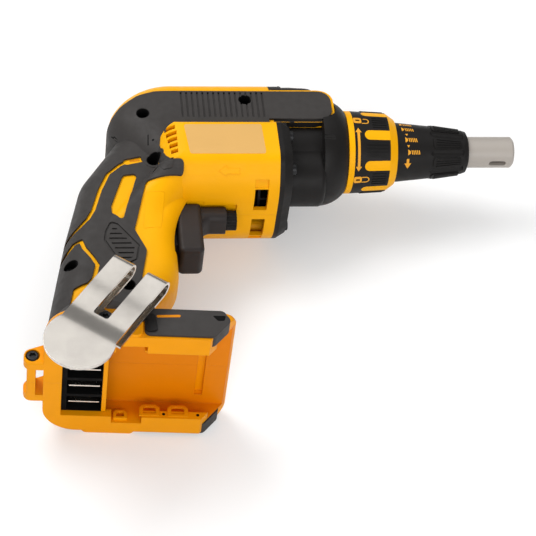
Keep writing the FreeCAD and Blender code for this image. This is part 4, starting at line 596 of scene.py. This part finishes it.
# Lock ring
def pad_ribs():
    """Ribs on the ring's eight pads; the two pads that carry a padlock end farther forward."""
    first, front, pitch, width = 40.5, -73.2, 1.75, 0.75
    ribs = []
    for pad in range(8):
        middle = radians(first + PAD_STEP * pad) * RING_RADIUS
        rear = -80.5 if pad in (1, 3) else -84.5
        lanes = [middle + lane * pitch for lane in range(-2, 3)]
        ribs += [bar((rear, lane), (front, lane), width) for lane in lanes]
    return ribs


def double_arrow(x=-89.0, shaft=0.72, barb=1.7):
    """An arrow with a head at each end, round the ring."""
    end, base, tip = 10.4, 9.4, 12.1
    line = [(x - shaft, -end), (x + shaft, -end), (x + shaft, end), (x - shaft, end)]
    heads = [[(x - barb, way * base), (x, way * tip), (x + barb, way * base)] for way in (1, -1)]
    return [line] + heads


def padlock(lift, gap):
    """A padlock's case and bow; a lift moves the bow aside and a gap opens one of its legs."""
    rear, front, half = -91, -86.6, 2.2
    crest, outer, inner = -84.4, 2.0, 1.4
    case = rounded([(rear, -half), (front, -half), (front, half), (rear, half)], 1.2)
    bow = [(front + gap, lift - outer)] + arc((crest, lift), outer, -pi / 2, pi / 2, 10)
    bow += [(front, lift + outer), (front, lift + inner)]
    bow += arc((crest, lift), inner, pi / 2, -pi / 2, 10) + [(front + gap, lift - inner)]
    return [case, bow]


def ring_details():
    """The ribs of the lock ring's pads, and its printed arrow between an open and a shut padlock."""
    pads = ("lock_ring_grip", "lock_ring_core")
    pressed("ring_ribs", pad_ribs(), wrapped(RING_RADIUS), pads, 0.35, "black_plastic", body="lock_ring")
    pressed("ring_arrow", double_arrow(), wrapped(RING_RADIUS, 129), pads, INK, "yellow_plastic",
            body="lock_ring", finish="printed_yellow")
    keyhole = bar((-89.4, 0), (-88.0, 0), 1.0)
    for name, angle, lift, gap in (("ring_open_lock", 83, 0.5, 1), ("ring_shut_lock", 175, 0, 0)):
        view = wrapped(RING_RADIUS, angle)
        pressed(name, padlock(lift, gap), view, pads, INK, "yellow_plastic", body="lock_ring",
                finish="printed_yellow")
        pressed(f"{name}_keyhole", [keyhole], view, pads, INK_ON_INK, "black_plastic", body="lock_ring",
                finish="black_and_painted_shade")


# Depth collar
def screw_sign(x, middle):
    """A little screw: its head, and five slanted threads."""
    front = x + 1.4
    outlines = [[(x, middle - 1.5), (front, middle - 0.6), (front, middle + 0.6), (x, middle + 1.5)]]
    low, high = middle - 1.1, middle + 1.1
    for thread in range(5):
        along = x + 1.8 + thread
        outlines.append([(along, low), (along + 0.55, low), (along + 0.95, high), (along + 0.4, high)])
    return outlines


def arrow_head(x, middle, size):
    """A triangle that points round the collar."""
    base = middle - size * 0.6
    return [(x - size, base), (x, middle + size), (x + size, base)]


def collar_signs():
    """Screws at four depths, with arrow heads between them, and a larger arrow with a stem."""
    signs = []
    for x, angle in ((-64.0, 63), (-63.6, 82), (-62.3, 108), (-61.0, 133.5)):
        signs += screw_sign(x, radians(angle) * COLLAR_RADIUS)
    for x, angle, size in ((-61.3, 96, 0.8), (-60.8, 121, 0.8), (-61.0, 160, 1.9)):
        signs.append(arrow_head(x, radians(angle) * COLLAR_RADIUS, size))
    start = radians(148) * COLLAR_RADIUS - 0.4
    end = start + 2.6
    signs.append([(-61.7, start), (-60.3, start), (-60.3, end), (-61.7, end)])
    return signs


def collar_details():
    """The collar's eight lobes with four ribs each, and its printed signs."""
    rear, front, rear_half, front_half = -46.5, -30.9, 3.6, 2.9
    lobes, ribs = [], []
    for lobe in range(8):
        middle = radians(22.5 + PAD_STEP * lobe) * COLLAR_RADIUS
        lobes.append(rounded([(rear, middle - rear_half), (front, middle - front_half),
                              (front, middle + front_half), (rear, middle + rear_half)], 2.0))
        ribs += [bar((-44.5, middle + lane * 1.5), (-31.2, middle + lane * 1.15), 0.7)
                 for lane in (-1.5, -0.5, 0.5, 1.5)]
    collar, view = ("depth_collar",), wrapped(COLLAR_RADIUS)
    pressed("collar_lobes", lobes, view, collar, 0.55, "black_plastic", body="depth_collar")
    pressed("collar_ribs", ribs, view, collar, 0.9, "black_plastic", body="depth_collar")
    pressed("collar_signs", collar_signs(), view, collar, INK, "yellow_plastic", body="depth_collar",
            finish="printed_yellow")


screw_hole_shade()
housing_fields()
grip_details()
case_lips()
case_crown()
panel_details()
trigger_web()
bay_details()
ring_details()
collar_details()


# Camera, lights and floor
def place_camera():
    """The camera, at its place and turned along its own axes."""
    data = bpy.data.cameras.new("camera")
    data.sensor_width = SENSOR_WIDTH
    data.lens = CAMERA_LENS
    data.clip_start = 0.05
    data.clip_end = 50
    camera = bpy.data.objects.new("camera", data)
    bpy.context.scene.collection.objects.link(camera)
    turn = Matrix((CAMERA_RIGHT, CAMERA_UP, CAMERA_BACK)).transposed()
    camera.matrix_world = Matrix.Translation(turn @ Vector(CAMERA_PLACE) * MM) @ turn.to_4x4()
    bpy.context.scene.camera = camera


def lamp(name, spot, target, size, power):
    """A rectangular lamp that faces a target, in metres and watts."""
    data = bpy.data.lights.new(name, "AREA")
    data.shape = "RECTANGLE"
    data.size, data.size_y = size
    data.energy = power
    light = bpy.data.objects.new(name, data)
    bpy.context.scene.collection.objects.link(light)
    light.location = spot
    light.rotation_mode = "QUATERNION"
    light.rotation_quaternion = (Vector(target) - Vector(spot)).to_track_quat("-Z", "Y")


def light_room():
    """Three lamps in a dim white room."""
    middle = (-0.14, -0.05, 0)
    lamp("key", (-0.75, 0.4, 1.05), middle, (0.8, 0.6), 10)
    lamp("overhead", (0.1, 0.55, 1.3), middle, (1.8, 1.3), 6)
    lamp("front_fill", (-0.1, -1.2, 0.6), middle, (1.6, 0.8), 11)
    world = bpy.data.worlds.new("white_room")
    world.use_nodes = True
    background = world.node_tree.nodes["Background"]
    background.inputs["Color"].default_value = (1, 1, 1, 1)
    background.inputs["Strength"].default_value = 0.3
    bpy.context.scene.world = world
    bpy.context.scene.view_settings.view_transform = "Standard"


def pale_floor(glow=0.30):
    """The floor's material, which glows only as seen by the camera, in reflections and through glass."""
    material, tree, shader = tree_of("pale_floor")
    shader.inputs["Base Color"].default_value = (0.74, 0.74, 0.74, 1)
    shader.inputs["Roughness"].default_value = 0.9
    shader.inputs["Specular IOR Level"].default_value = 0.1
    path = tree.nodes.new("ShaderNodeLightPath")
    seen = path.outputs["Is Camera Ray"]
    for name in ("Is Glossy Ray", "Is Transmission Ray"):
        seen = maths(tree, "MAXIMUM", seen, path.outputs[name])
    shader.inputs["Emission Color"].default_value = (1, 1, 1, 1)
    tree.links.new(maths(tree, "MULTIPLY", seen, glow), shader.inputs["Emission Strength"])
    return material


def lay_floor():
    """A wide floor under the tool, which is no part of it."""
    mesh = bpy.data.meshes.new("floor")
    corners = [(-1, -1), (1, -1), (1, 1), (-1, 1)]
    points = [(x * FLOOR_REACH * MM, y * FLOOR_REACH * MM, FLOOR * MM) for x, y in corners]
    mesh.from_pydata(points, [], [(0, 1, 2, 3)])
    mesh.materials.append(pale_floor())
    floor = bpy.data.objects.new("floor", mesh)
    bpy.context.scene.collection.objects.link(floor)


place_camera()
light_room()
lay_floor()
